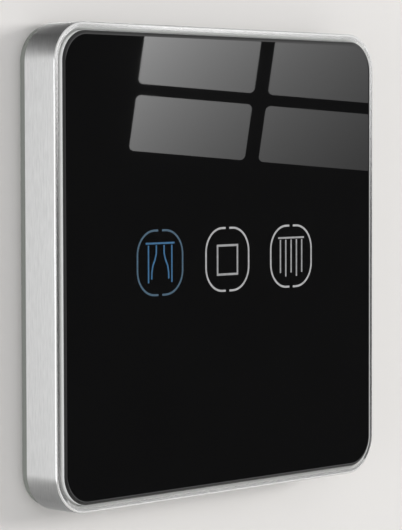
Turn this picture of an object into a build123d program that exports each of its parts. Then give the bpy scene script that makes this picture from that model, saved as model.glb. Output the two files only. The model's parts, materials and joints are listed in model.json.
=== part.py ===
from build123d import *
import math
import os

os.makedirs("parts", exist_ok=True)

# Touch curtain switch for an 86 mm wall box, in millimetres.
# X runs to the right, Z runs up, and the face looks along -Y.
# A level is a height above the wall plane: positive in the room, negative in the wall box.

# Face and trim frame
face_side = 86.0
face_corner = 7.2
frame_depth = 7.7
frame_wall = 1.35
lip_width = 0.9
lip_drop = 0.1
lip_chamfer = 0.4
lip_bead = 0.12
lip_reach = 0.02
ledge_width = 2.7
ledge_thickness = 1.0
ledge_corner = 9.0
panel_seat_gap = 0.1

# Glass, its tape and the light film behind the signs
glass_gap = 0.1
glass_thickness = 4.0
glass_proud = 0.65
glass_bevel_width = 0.9
glass_bevel_drop = 0.7
tape_thickness = 0.3
tape_inset = 0.3
sign_count = 3
sign_pitch = 17.8
sign_size = 11.9
sign_corner = 4.6
diffuser_margin = 2.0
diffuser_thickness = 0.25

# Panel carrier
carrier_thickness = 1.4
carrier_gap = 0.2
carrier_skirt_wall = 1.2
carrier_skirt_gap = 0.1
carrier_window_gap = 0.5
post_width = 3.2
post_thickness = 1.6
post_tip = 0.5

# Mounting flange
flange_inset = 0.55
flange_thickness = 1.5
flange_break = 0.3
rim_wall = 1.0
rim_height = 2.0
window_height = 46.0
wall_screw_spacing = 60.3
wall_screw_slot = 5.4
wall_screw_slot_radius = 2.1
wall_screw_head_room = 5.0
pry_notch_width = 9.0
pry_notch_length = 1.6
pry_notch_depth = 1.0

# Catches between carrier and flange
catch_x = 14.0
catch_housing_gap = 0.8
socket_width = 6.6
socket_height = 5.4
socket_hole_width = 4.6
socket_hole_height = 3.4
socket_depth = 5.2
socket_floor = 0.6
clip_width = 4.0
clip_leaf = 0.3
clip_grip = 0.05
clip_ear = 1.2

# Rear housing
housing_width = 53.0
housing_height = 60.0
housing_corner = 4.0
housing_wall = 1.6
housing_break = 1.2
boss_side = 2.9
boss_radius = 2.4
boss_edge = 1.8
housing_screw_radius = 1.1
housing_screw_head = 2.1
housing_screw_length = 9.0
screw_fit = 0.05
pilot_play = 1.0
vent_count = 7
vent_pitch = 3.4
vent_width = 1.4
vent_length = 13.0
vent_z = 15.5

# Boards
board_gap = 0.2
touch_board_thickness = 1.2
board_space = 5.8
power_board_thickness = 1.6
board_rest_deep = 2.6
board_rest_thin = 1.2
board_rest_width = 3.0
board_rest_z = 16.0

# Light shield, lamps and touch springs
shield_wall = 0.8
shield_end_wall = 0.95
shield_gap = 0.2
shield_side_gap = 0.2
lamps_a_sign = 2
lamp_length = 1.6
lamp_width = 0.8
lamp_height = 0.6
lamp_offset = 1.3
wire_diameter = 0.5
coil_radius = 4.0
coil_turns = 2
wire_sides = 6
coil_top_radius = 2.6
coil_leg_rise = 0.85
coil_leg_back = 0.9
coil_top_gap = 0.05
least_wire_gap = 0.4
samples_a_turn = 24
turn_step = 0.01
arcs_a_turn = 2

# Parts on the touch board
chip_length = 9.9
chip_width = 3.9
chip_height = 1.5
chip_leg_span = 6.0
chip_leg_width = 0.4
chip_leg_height = 0.25
chip_leg_pitch = 1.27
chip_legs_a_side = 8
chip_from_top = 8.5
radio_board_width = 16.0
radio_board_length = 24.0
radio_board_thickness = 0.8
radio_x = 0.0
radio_z = -6.0
can_width = 12.6
can_length = 15.6
can_height = 2.2
can_offset = -3.0
can_corner = 0.4
link_from_top = 8.5
link_pitch = 2.54
link_columns = 5
link_rows = 2
link_border = 1.2
link_pin = 0.64
link_pin_fit = 0.1
link_header_height = 2.5
link_part_gap = 0.2
link_pin_stand = 0.3

# Parts on the power board
relay_length = 18.4
relay_width = 10.2
relay_height = 15.3
relay_break = 0.6
relay_x = 11.6
relay_gap = 1.2
housing_head_room = 0.8
core_width = 13.0
core_length = 12.0
core_thickness = 5.0
core_leg = 3.0
core_window = 2.6
core_window_length = 7.6
winding_height = 9.6
winding_side_gap = 0.3
winding_leg_gap = 0.05
winding_corner = 1.5
transformer_x = -12.0
transformer_relay_gap = 3.1
bulk_radius = 4.0
bulk_height = 12.0
can_break = 0.5
bulk_x = 3.0
bulk_relay_gap = 4.0
output_radius = 2.5
output_height = 8.5
output_x = -1.4
output_from_top = 11.4
line_capacitor_length = 13.0
line_capacitor_width = 5.0
line_capacitor_height = 11.0
line_capacitor_break = 0.6
line_capacitor_x = 14.0
line_capacitor_from_top = 11.5
fuse_radius = 4.2
fuse_height = 7.6
fuse_x = 14.5
fuse_relay_gap = 4.5
varistor_radius = 5.0
varistor_thickness = 3.6
varistor_break = 0.9
varistor_lead = 0.4
varistor_lead_spread = 2.5
varistor_stand = 1.0
varistor_x = -12.5
varistor_from_top = 10.5
choke_side = 7.0
choke_corner = 1.2
choke_height = 4.5
choke_x = 5.5
choke_from_top = 4.0

# Terminals
pole_count = 4
pole_pitch = 9.2
pole_gap = 0.1
block_inset = 0.3
block_height = 11.8
block_recess = 0.5
block_break = 0.4
notch_gap = 0.15
entry_wall = 2.0
back_wall = 1.2
wire_hole_radius = 1.7
driver_hole_radius = 2.2
cage_width = 6.4
cage_wall = 1.1
cage_length = 6.0
cage_side_gap = 0.2
cage_end_gap = 0.2
cage_floor = 1.2
cage_floor_gap = 0.8
cage_break = 0.5
cage_tooth = 0.25
cage_tooth_count = 3
wire_space = 3.4
bar_width = 3.6
bar_thickness = 1.0
bar_slack = 0.1
bar_bend = 0.6
tail_width = 2.4
tail_out = 1.0
tail_gap = 0.1
nut_thickness = 1.6
screw_pitch = 0.5
clamp_turns = 5
terminal_screw_radius = 1.5
terminal_screw_fit = 0.05
terminal_head_radius = 2.6
terminal_head_height = 2.0
terminal_head_play = 0.2
nut_head_gap = 0.5
drive_slot_width = 0.8
drive_slot_depth = 0.9
screw_tip_gap = 0.05

# Levels of the front panel
panel_rear = flange_thickness + panel_seat_gap
face_level = panel_rear + frame_depth
glass_front = face_level + glass_proud
glass_rear = glass_front - glass_thickness
ledge_front = glass_rear - tape_thickness
ledge_rear = ledge_front - ledge_thickness
carrier_rear = ledge_rear - carrier_thickness

# Sides of the front panel
pocket_side = face_side - 2 * frame_wall
pocket_corner = face_corner - frame_wall
ledge_opening = pocket_side - 2 * ledge_width
glass_side = pocket_side - 2 * glass_gap
glass_corner = pocket_corner - glass_gap
carrier_side = pocket_side - 2 * carrier_gap
carrier_corner = pocket_corner - carrier_gap

# Levels of the base
touch_board_rear = -touch_board_thickness
power_board_front = touch_board_rear - board_space
power_board_rear = power_board_front - power_board_thickness
housing_floor = power_board_rear - relay_height - housing_head_room
housing_rear = housing_floor - housing_wall

# Sides of the base
flange_side = face_side - 2 * flange_inset
flange_corner = face_corner - flange_inset
cavity_width = housing_width - 2 * housing_wall
cavity_height = housing_height - 2 * housing_wall
cavity_corner = housing_corner - housing_wall
shield_width = (sign_count - 1) * sign_pitch + sign_size + 2 * shield_end_wall
window_width = shield_width + 2 * shield_side_gap
rim_width = window_width + 2 * rim_wall
rim_length = window_height + 2 * rim_wall
boss_x = cavity_width / 2 - boss_side
boss_z = cavity_height / 2 - boss_edge
catch_z = housing_height / 2 + catch_housing_gap + socket_height / 2
touch_board_width = cavity_width - 2 * board_gap
touch_board_height = 2 * (boss_z - boss_radius - board_gap)
power_board_width = cavity_width - 2 * (board_rest_thin + board_gap)
tongue_width = 2 * (boss_x - boss_radius - board_gap)
tongue_end = -cavity_height / 2 + board_gap
shield_height = sign_size + 2 * shield_wall
shield_top = ledge_front - shield_gap

# Levels and places of the terminals
clamp_travel = clamp_turns * screw_pitch
cage_front = power_board_rear - cage_floor_gap
wire_front = cage_front - cage_floor
bar_front = wire_front - wire_space
bar_rear = bar_front - bar_thickness
nut_front = bar_rear - bar_slack
nut_rear = nut_front - nut_thickness
head_front = nut_rear - clamp_travel - nut_head_gap
head_rear = head_front - terminal_head_height
pocket_rear = head_rear - terminal_head_play
block_rear = housing_rear + block_recess
block_width = pole_pitch - pole_gap
block_bottom = -housing_height / 2 + block_inset
block_top = block_bottom + block_height
chamber_width = cage_width + 2 * cage_side_gap
chamber_bottom = block_bottom + entry_wall
chamber_top = block_top - back_wall
cage_bottom = chamber_bottom + cage_end_gap
clamp_z = cage_bottom + cage_length / 2
wire_level = (wire_front + bar_front) / 2
tail_z = chamber_top - tail_gap - bar_thickness / 2
pole_places = [(place - (pole_count - 1) / 2) * pole_pitch for place in range(pole_count)]

# Places of the parts on the boards
board_top = touch_board_height / 2
chip_z = board_top - chip_from_top
link_z = board_top - link_from_top
relay_z = block_top + relay_gap + relay_width / 2
relay_top = relay_z + relay_width / 2
transformer_z = relay_top + transformer_relay_gap + core_length / 2
bulk_z = relay_top + bulk_relay_gap + bulk_radius
fuse_z = relay_top + fuse_relay_gap + fuse_radius
output_z = board_top - output_from_top
line_capacitor_z = board_top - line_capacitor_from_top
varistor_z = board_top - varistor_from_top
choke_z = board_top - choke_from_top


def face_plane(level):
    """Plane parallel to the wall that looks into the room."""
    return Plane.XZ.offset(level)


def rear_plane(level):
    """Plane parallel to the wall that looks into the wall box."""
    return Plane(origin=(0, -level, 0), x_dir=(1, 0, 0), z_dir=(0, 1, 0))


def finish(piece, name):
    """Name a finished piece and write its file."""
    piece.part.label = name
    export_step(piece.part, f"parts/{name}.step")


# Trim frame: aluminium ring with a polished lip, and a ledge that carries the glass
with BuildPart() as trim_frame:
    with BuildSketch(face_plane(panel_rear)):
        RectangleRounded(face_side, face_side, face_corner)
        RectangleRounded(pocket_side, pocket_side, pocket_corner, mode=Mode.SUBTRACT)
    extrude(amount=frame_depth)
    front_face = trim_frame.faces().sort_by(Axis.Y)[0]
    chamfer(front_face.inner_wires()[0].edges(), length=lip_width, length2=lip_drop, reference=front_face)
    lip_level = -(face_level - lip_drop)
    lip_edges = trim_frame.edges().filter_by_position(Axis.Y, lip_level - lip_reach, lip_level + lip_reach)
    chamfer(lip_edges, length=lip_chamfer)
    outer_edges = trim_frame.faces().sort_by(Axis.Y)[0].outer_wire().edges()
    chamfer(outer_edges, length=lip_bead)
    with BuildSketch(face_plane(ledge_rear)):
        RectangleRounded(pocket_side, pocket_side, pocket_corner)
        RectangleRounded(ledge_opening, ledge_opening, ledge_corner, mode=Mode.SUBTRACT)
    extrude(amount=ledge_thickness)
finish(trim_frame, "trim_frame")

# Glass panel: flat sheet whose bevelled edge stands proud of the frame
with BuildPart() as glass_panel:
    with BuildSketch(face_plane(glass_rear)):
        RectangleRounded(glass_side, glass_side, glass_corner)
    extrude(amount=glass_thickness)
    glass_face = glass_panel.faces().sort_by(Axis.Y)[0]
    chamfer(glass_face.edges(), length=glass_bevel_width, length2=glass_bevel_drop, reference=glass_face)
finish(glass_panel, "glass_panel")

# Glass tape: bonding ring between the glass and the ledge
with BuildPart() as glass_tape:
    with BuildSketch(face_plane(ledge_front)):
        RectangleRounded(
            pocket_side - 2 * tape_inset,
            pocket_side - 2 * tape_inset,
            pocket_corner - tape_inset,
        )
        RectangleRounded(
            ledge_opening + 2 * tape_inset,
            ledge_opening + 2 * tape_inset,
            ledge_corner + tape_inset,
            mode=Mode.SUBTRACT,
        )
    extrude(amount=tape_thickness)
finish(glass_tape, "glass_tape")

# Icon diffuser: light film on the back of the glass, behind the three signs
with BuildPart() as icon_diffuser:
    with BuildSketch(face_plane(glass_rear - diffuser_thickness)):
        Rectangle(
            (sign_count - 1) * sign_pitch + sign_size + 2 * diffuser_margin,
            sign_size + 2 * diffuser_margin,
        )
    extrude(amount=diffuser_thickness)
finish(icon_diffuser, "icon_diffuser")

# Panel carrier: moulded plate behind the ledge, with a skirt and four catch posts
with BuildPart() as panel_carrier:
    with BuildSketch(face_plane(carrier_rear)):
        RectangleRounded(carrier_side, carrier_side, carrier_corner)
        Rectangle(
            rim_width + 2 * carrier_window_gap,
            rim_length + 2 * carrier_window_gap,
            mode=Mode.SUBTRACT,
        )
        with GridLocations(wall_screw_spacing, 0, 2, 1):
            Circle(wall_screw_head_room, mode=Mode.SUBTRACT)
    extrude(amount=carrier_thickness)
    with BuildSketch(face_plane(carrier_rear)):
        RectangleRounded(carrier_side, carrier_side, carrier_corner)
        RectangleRounded(
            carrier_side - 2 * carrier_skirt_wall,
            carrier_side - 2 * carrier_skirt_wall,
            carrier_corner - carrier_skirt_wall,
            mode=Mode.SUBTRACT,
        )
    extrude(amount=-(carrier_rear - flange_thickness - carrier_skirt_gap))
    post_end = -(socket_depth - socket_floor - 2 * clip_leaf - post_tip)
    with BuildSketch(face_plane(carrier_rear)):
        with GridLocations(2 * catch_x, 2 * catch_z, 2, 2):
            Rectangle(post_width, post_thickness)
    extrude(amount=-(carrier_rear - post_end))
    post_ends = panel_carrier.faces().filter_by_position(Axis.Y, -post_end - post_tip, -post_end + post_tip)
    chamfer(post_ends.edges(), length=post_tip)
finish(panel_carrier, "panel_carrier")

# Mounting frame: flange on the wall, with a light rim, two screw slots and four catch sockets
with BuildPart() as mounting_frame:
    with BuildSketch(face_plane(0)):
        RectangleRounded(flange_side, flange_side, flange_corner)
    extrude(amount=flange_thickness)
    chamfer(mounting_frame.faces().sort_by(Axis.Y)[0].edges(), length=flange_break)
    with BuildSketch(face_plane(flange_thickness)):
        Rectangle(rim_width, rim_length)
    extrude(amount=rim_height)
    with BuildSketch(face_plane(0)):
        with GridLocations(2 * catch_x, 2 * catch_z, 2, 2):
            Rectangle(socket_width, socket_height)
    extrude(amount=-socket_depth)
    with BuildSketch(face_plane(0)):
        Rectangle(window_width, window_height)
        with GridLocations(wall_screw_spacing, 0, 2, 1):
            SlotOverall(wall_screw_slot, 2 * wall_screw_slot_radius)
    extrude(amount=flange_thickness + rim_height, mode=Mode.SUBTRACT)
    with BuildSketch(face_plane(flange_thickness)):
        with GridLocations(2 * catch_x, 2 * catch_z, 2, 2):
            Rectangle(socket_hole_width, socket_hole_height)
    extrude(amount=-(flange_thickness + socket_depth - socket_floor), mode=Mode.SUBTRACT)
    with BuildSketch(face_plane(flange_thickness)):
        with Locations((0, -flange_side / 2)):
            Rectangle(pry_notch_width, 2 * pry_notch_length)
    extrude(amount=-pry_notch_depth, mode=Mode.SUBTRACT)
    with Locations(face_plane(flange_thickness)):
        with GridLocations(2 * boss_x, 2 * boss_z, 2, 2):
            CounterSinkHole(housing_screw_radius + screw_fit, housing_screw_head, depth=flange_thickness)
finish(mounting_frame, "mounting_frame")

# Catch clips: steel U springs in the sockets that grip the carrier's posts
with BuildPart() as catch_clips:
    clip_floor = -(socket_depth - socket_floor)
    grip_half = post_thickness / 2 + clip_grip
    for side_z in (-catch_z, catch_z):
        with BuildSketch(Plane.YZ) as clip_profile:
            with Locations((-(clip_floor + flange_thickness) / 2, side_z)):
                Rectangle(flange_thickness - clip_floor, 2 * (grip_half + clip_leaf))
            with Locations((-(flange_thickness + clip_leaf / 2), side_z)):
                Rectangle(clip_leaf, 2 * (grip_half + clip_ear))
            with Locations((-(clip_floor + clip_leaf + flange_thickness + clip_leaf) / 2, side_z)):
                Rectangle(flange_thickness - clip_floor, 2 * grip_half, mode=Mode.SUBTRACT)
        for side_x in (-catch_x, catch_x):
            extrude(clip_profile.sketch.moved(Location((side_x, 0, 0))), amount=clip_width / 2, both=True)
finish(catch_clips, "catch_clips")

# Rear housing: box in the wall, with corner bosses, board rests, vents and the terminal notch
with BuildPart() as rear_housing:
    with BuildSketch(face_plane(housing_rear)):
        RectangleRounded(housing_width, housing_height, housing_corner)
    extrude(amount=-housing_rear)
    chamfer(rear_housing.faces().sort_by(Axis.Y)[-1].edges(), length=housing_break)
    with BuildSketch(face_plane(housing_floor)):
        RectangleRounded(cavity_width, cavity_height, cavity_corner)
    extrude(amount=-housing_floor, mode=Mode.SUBTRACT)
    with BuildSketch(face_plane(housing_floor)):
        with GridLocations(2 * boss_x, 2 * boss_z, 2, 2):
            Rectangle(2 * boss_radius, 2 * boss_radius)
    extrude(amount=-housing_floor)
    with BuildSketch(face_plane(housing_floor)):
        with GridLocations(cavity_width - board_rest_deep, 2 * board_rest_z, 2, 2):
            Rectangle(board_rest_deep, board_rest_width)
    extrude(amount=power_board_rear - housing_floor)
    with BuildSketch(face_plane(housing_floor)):
        with GridLocations(cavity_width - board_rest_thin, 2 * board_rest_z, 2, 2):
            Rectangle(board_rest_thin, board_rest_width)
    extrude(amount=touch_board_rear - housing_floor)
    with BuildSketch(face_plane(0)):
        with GridLocations(2 * boss_x, 2 * boss_z, 2, 2):
            Circle(housing_screw_radius + screw_fit)
    extrude(amount=-(housing_screw_length - flange_thickness + pilot_play), mode=Mode.SUBTRACT)
    with BuildSketch(face_plane(housing_rear)):
        with Locations((0, vent_z)):
            with GridLocations(vent_pitch, 0, vent_count, 1):
                Rectangle(vent_width, vent_length)
    extrude(amount=housing_wall, mode=Mode.SUBTRACT)
    notch_top = block_top + notch_gap
    notch_bottom = -housing_height / 2
    with BuildSketch(face_plane(housing_rear)):
        with Locations((0, (notch_top + notch_bottom) / 2)):
            Rectangle(pole_count * pole_pitch + 2 * notch_gap, notch_top - notch_bottom)
    extrude(amount=power_board_rear + notch_gap - housing_rear, mode=Mode.SUBTRACT)
finish(rear_housing, "rear_housing")

# Housing screws: four countersunk screws that join flange and housing
screw_head_radius = housing_screw_head - screw_fit
with BuildPart() as housing_screws:
    for screw_x in (-boss_x, boss_x):
        for screw_z in (-boss_z, boss_z):
            with BuildSketch(Plane(origin=(screw_x, -flange_thickness, screw_z), z_dir=(0, 0, 1))):
                with BuildLine():
                    Polyline(
                        (0, 0),
                        (screw_head_radius, 0),
                        (housing_screw_radius, screw_head_radius - housing_screw_radius),
                        (housing_screw_radius, housing_screw_length),
                        (0, housing_screw_length),
                        close=True,
                    )
                make_face()
            revolve(axis=Axis((screw_x, -flange_thickness, screw_z), (0, 1, 0)))
finish(housing_screws, "housing_screws")

# Touch board: front circuit board, held between the housing's rests and the flange
with BuildPart() as touch_board:
    with BuildSketch(face_plane(touch_board_rear)):
        Rectangle(touch_board_width, touch_board_height)
    extrude(amount=touch_board_thickness)
finish(touch_board, "touch_board")

# Light shield: three chimneys that keep the signs' light apart
with BuildPart() as light_shield:
    with BuildSketch(face_plane(0)):
        Rectangle(shield_width, shield_height)
        with GridLocations(sign_pitch, 0, sign_count, 1):
            RectangleRounded(sign_size, sign_size, sign_corner, mode=Mode.SUBTRACT)
    extrude(amount=shield_top)
finish(light_shield, "light_shield")

# Indicator lamps: two behind each sign
with BuildPart() as indicator_lamps:
    with BuildSketch(face_plane(0)):
        with GridLocations(sign_pitch, 2 * lamp_offset, sign_count, lamps_a_sign):
            Rectangle(lamp_length, lamp_width)
    extrude(amount=lamp_height)
finish(indicator_lamps, "indicator_lamps")

# Touch springs: each wire stands up from the board, winds up to the glass and ends in a flat turn
coil_top = ledge_front - coil_top_gap - wire_diameter / 2
coil_start = wire_diameter + coil_leg_rise


def coil_point(turn):
    """Point of the wire's centre line after a number of turns, as (across, level, along)."""
    angle = 2 * math.pi * turn
    climb = min(turn / coil_turns, 1.0)
    shrink = max(turn - coil_turns, 0.0)
    radius = coil_radius - (coil_radius - coil_top_radius) * shrink
    level = coil_start + (coil_top - coil_start) * climb
    return Vector(radius * math.cos(angle), -level, radius * math.sin(angle))


def coil_direction(turn):
    """Direction of the wire's centre line after a number of turns."""
    return (coil_point(turn + turn_step) - coil_point(turn - turn_step)).normalized()


def biarc(start, start_direction, end, end_direction):
    """Two arcs that leave start and reach end along the given directions."""
    chord = end - start
    both = start_direction + end_direction
    square = 2 * (1 - start_direction.dot(end_direction))
    across = chord.dot(both)
    reach = (-across + math.sqrt(across**2 + square * chord.dot(chord))) / square
    middle = ((start + start_direction * reach) + (end - end_direction * reach)) / 2
    middle_direction = ((end - end_direction * reach) - (start + start_direction * reach)).normalized()
    TangentArc(start, middle, tangent=start_direction)
    TangentArc(middle, end, tangent=middle_direction)


def least_gap(points):
    """Least gap between stretches of the wire that are more than half a turn apart."""
    apart = len(points) // (2 * (coil_turns + 1))
    gaps = [
        (points[first] - points[second]).length - wire_diameter
        for first in range(len(points))
        for second in range(first + apart, len(points))
    ]
    return min(gaps)


coil_knots = [step / arcs_a_turn for step in range(arcs_a_turn * (coil_turns + 1) + 1)]
leg_top = Vector(coil_radius, -wire_diameter, -coil_leg_back)
into_room = Vector(0, -1, 0)
measured = [coil_point(step / samples_a_turn) for step in range(samples_a_turn * (coil_turns + 1) + 1)]
print(f"touch spring: least gap between turns {least_gap(measured):.2f} mm")
if least_gap(measured) < least_wire_gap:
    print("touch spring: the turns lie closer than they should")

for sign_name, spring_x in (("open", -sign_pitch), ("stop", 0.0), ("close", sign_pitch)):
    centre = Vector(spring_x, 0, 0)
    with BuildPart() as touch_spring:
        with BuildLine() as wire_path:
            Line(centre + Vector(coil_radius, 0, -coil_leg_back), centre + leg_top)
            biarc(centre + leg_top, into_room, centre + coil_point(0), coil_direction(0))
            for first, second in zip(coil_knots[:-1], coil_knots[1:]):
                biarc(
                    centre + coil_point(first),
                    coil_direction(first),
                    centre + coil_point(second),
                    coil_direction(second),
                )
            last = coil_knots[-1]
            wire_end = centre + coil_point(last)
            Line(wire_end, wire_end + coil_direction(last) * wire_diameter)
        with BuildSketch(Plane(origin=centre + Vector(coil_radius, 0, -coil_leg_back), z_dir=into_room)):
            RegularPolygon(wire_diameter / 2, wire_sides)
        sweep()
    finish(touch_spring, f"touch_spring_{sign_name}")

# Touch chip: sensing controller on the front of the touch board
with BuildPart() as touch_chip:
    with BuildSketch(face_plane(chip_leg_height)):
        with Locations((0, chip_z)):
            Rectangle(chip_length, chip_width)
    extrude(amount=chip_height - chip_leg_height)
    with BuildSketch(face_plane(0)):
        with Locations((0, chip_z)):
            with GridLocations(chip_leg_pitch, 0, chip_legs_a_side, 1):
                Rectangle(chip_leg_width, chip_leg_span)
    extrude(amount=chip_leg_height)
finish(touch_chip, "touch_chip")

# Radio board and its shielding can, on the back of the touch board
radio_rear = touch_board_rear - radio_board_thickness
with BuildPart() as radio_board:
    with BuildSketch(face_plane(radio_rear)):
        with Locations((radio_x, radio_z)):
            Rectangle(radio_board_width, radio_board_length)
    extrude(amount=radio_board_thickness)
finish(radio_board, "radio_board")

with BuildPart() as radio_can:
    with BuildSketch(face_plane(radio_rear - can_height)):
        with Locations((radio_x, radio_z + can_offset)):
            Rectangle(can_width, can_length)
    extrude(amount=can_height)
    chamfer(radio_can.faces().sort_by(Axis.Y)[-1].edges(), length=can_corner)
finish(radio_can, "radio_can")

# Board link: header on the power board, socket on the touch board, and the pins between them
link_length = link_columns * link_pitch + 2 * (link_border - link_pitch / 2)
link_height = link_rows * link_pitch + 2 * (link_border - link_pitch / 2)
link_header_top = power_board_front + link_header_height
with BuildPart() as link_header:
    with BuildSketch(face_plane(power_board_front)):
        with Locations((0, link_z)):
            Rectangle(link_length, link_height)
            with GridLocations(link_pitch, link_pitch, link_columns, link_rows):
                Rectangle(link_pin, link_pin, mode=Mode.SUBTRACT)
    extrude(amount=link_header_height)
finish(link_header, "link_header")

with BuildPart() as link_socket:
    with BuildSketch(face_plane(link_header_top + link_part_gap)):
        with Locations((0, link_z)):
            Rectangle(link_length, link_height)
            with GridLocations(link_pitch, link_pitch, link_columns, link_rows):
                Rectangle(link_pin + 2 * link_pin_fit, link_pin + 2 * link_pin_fit, mode=Mode.SUBTRACT)
    extrude(amount=touch_board_rear - link_header_top - link_part_gap)
finish(link_socket, "link_socket")

with BuildPart() as link_pins:
    with BuildSketch(face_plane(power_board_front)):
        with Locations((0, link_z)):
            with GridLocations(link_pitch, link_pitch, link_columns, link_rows):
                Rectangle(link_pin, link_pin)
    extrude(amount=board_space - link_pin_stand)
finish(link_pins, "link_pins")

# Power board: rear circuit board, with a tongue that carries the terminals
with BuildPart() as power_board:
    with BuildSketch(face_plane(power_board_rear)):
        Rectangle(power_board_width, touch_board_height)
        with Locations((0, tongue_end / 2)):
            Rectangle(tongue_width, -tongue_end)
        for pole_x in pole_places:
            with Locations((pole_x, tail_z)):
                Rectangle(tail_width + 2 * tail_gap, bar_thickness + 2 * tail_gap, mode=Mode.SUBTRACT)
    extrude(amount=power_board_thickness)
finish(power_board, "power_board")

# Relays: one for each direction of the curtain motor
for sign_name, relay_place in (("open", -relay_x), ("close", relay_x)):
    with BuildPart() as relay:
        with BuildSketch(face_plane(power_board_rear - relay_height)):
            with Locations((relay_place, relay_z)):
                Rectangle(relay_length, relay_width)
        extrude(amount=relay_height)
        chamfer(relay.faces().sort_by(Axis.Y)[-1].edges(), length=relay_break)
    finish(relay, f"relay_{sign_name}")

# Transformer: core with two windows, and the taped winding round its middle leg
core_front = power_board_rear - (winding_height - core_thickness) / 2
with BuildPart() as transformer_core:
    with BuildSketch(face_plane(core_front - core_thickness)):
        with Locations((transformer_x, transformer_z)):
            Rectangle(core_width, core_length)
            with GridLocations(core_leg + core_window, 0, 2, 1):
                Rectangle(core_window, core_window_length, mode=Mode.SUBTRACT)
    extrude(amount=core_thickness)
finish(transformer_core, "transformer_core")

winding_level = core_front - core_thickness / 2
winding_length = core_window_length - 2 * winding_side_gap
with BuildPart() as transformer_winding:
    with BuildSketch(Plane.XY.offset(transformer_z - winding_length / 2)) as winding_outline:
        with Locations((transformer_x, -winding_level)):
            Rectangle(core_leg + 2 * (core_window - winding_side_gap), winding_height)
            chamfer(winding_outline.vertices(), length=winding_corner)
            Rectangle(
                core_leg + 2 * winding_leg_gap,
                core_thickness + 2 * winding_leg_gap,
                mode=Mode.SUBTRACT,
            )
    extrude(amount=winding_length)
finish(transformer_winding, "transformer_winding")

# Bulk capacitor: large can on the mains side
with BuildPart() as bulk_capacitor:
    with Locations(rear_plane(power_board_rear)):
        with Locations((bulk_x, -bulk_z)):
            Cylinder(bulk_radius, bulk_height, align=(Align.CENTER, Align.CENTER, Align.MIN))
    chamfer(bulk_capacitor.faces().sort_by(Axis.Y)[-1].edges(), length=can_break)
finish(bulk_capacitor, "bulk_capacitor")

# Output capacitor: smaller can on the low-voltage side
with BuildPart() as output_capacitor:
    with Locations(rear_plane(power_board_rear)):
        with Locations((output_x, -output_z)):
            Cylinder(output_radius, output_height, align=(Align.CENTER, Align.CENTER, Align.MIN))
    chamfer(output_capacitor.faces().sort_by(Axis.Y)[-1].edges(), length=can_break)
finish(output_capacitor, "output_capacitor")

# Line capacitor: moulded box
with BuildPart() as line_capacitor:
    with BuildSketch(face_plane(power_board_rear - line_capacitor_height)):
        with Locations((line_capacitor_x, line_capacitor_z)):
            Rectangle(line_capacitor_length, line_capacitor_width)
    extrude(amount=line_capacitor_height)
    chamfer(line_capacitor.faces().sort_by(Axis.Y)[-1].edges(), length=line_capacitor_break)
finish(line_capacitor, "line_capacitor")

# Fuse: round cap that stands on the board
with BuildPart() as fuse:
    with Locations(rear_plane(power_board_rear)):
        with Locations((fuse_x, -fuse_z)):
            Cylinder(fuse_radius, fuse_height, align=(Align.CENTER, Align.CENTER, Align.MIN))
finish(fuse, "fuse")

# Varistor: coated disc on two leads
varistor_level = power_board_rear - varistor_stand - varistor_radius
with BuildPart() as varistor:
    with BuildSketch(Plane.XY.offset(varistor_z - varistor_thickness / 2)):
        with Locations((varistor_x, -varistor_level)):
            Circle(varistor_radius)
    extrude(amount=varistor_thickness)
    chamfer(varistor.edges().filter_by(GeomType.CIRCLE), length=varistor_break)
    with BuildSketch(face_plane(varistor_level)):
        with Locations((varistor_x, varistor_z)):
            with GridLocations(2 * varistor_lead_spread, 0, 2, 1):
                Rectangle(2 * varistor_lead, 2 * varistor_lead)
    extrude(amount=power_board_rear - varistor_level)
finish(varistor, "varistor")

# Choke: moulded inductor
with BuildPart() as choke:
    with BuildSketch(face_plane(power_board_rear - choke_height)):
        with Locations((choke_x, choke_z)):
            Rectangle(choke_side, choke_side)
    extrude(amount=choke_height)
    chamfer(choke.edges().filter_by(Axis.Y), length=choke_corner)
finish(choke, "choke")

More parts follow.
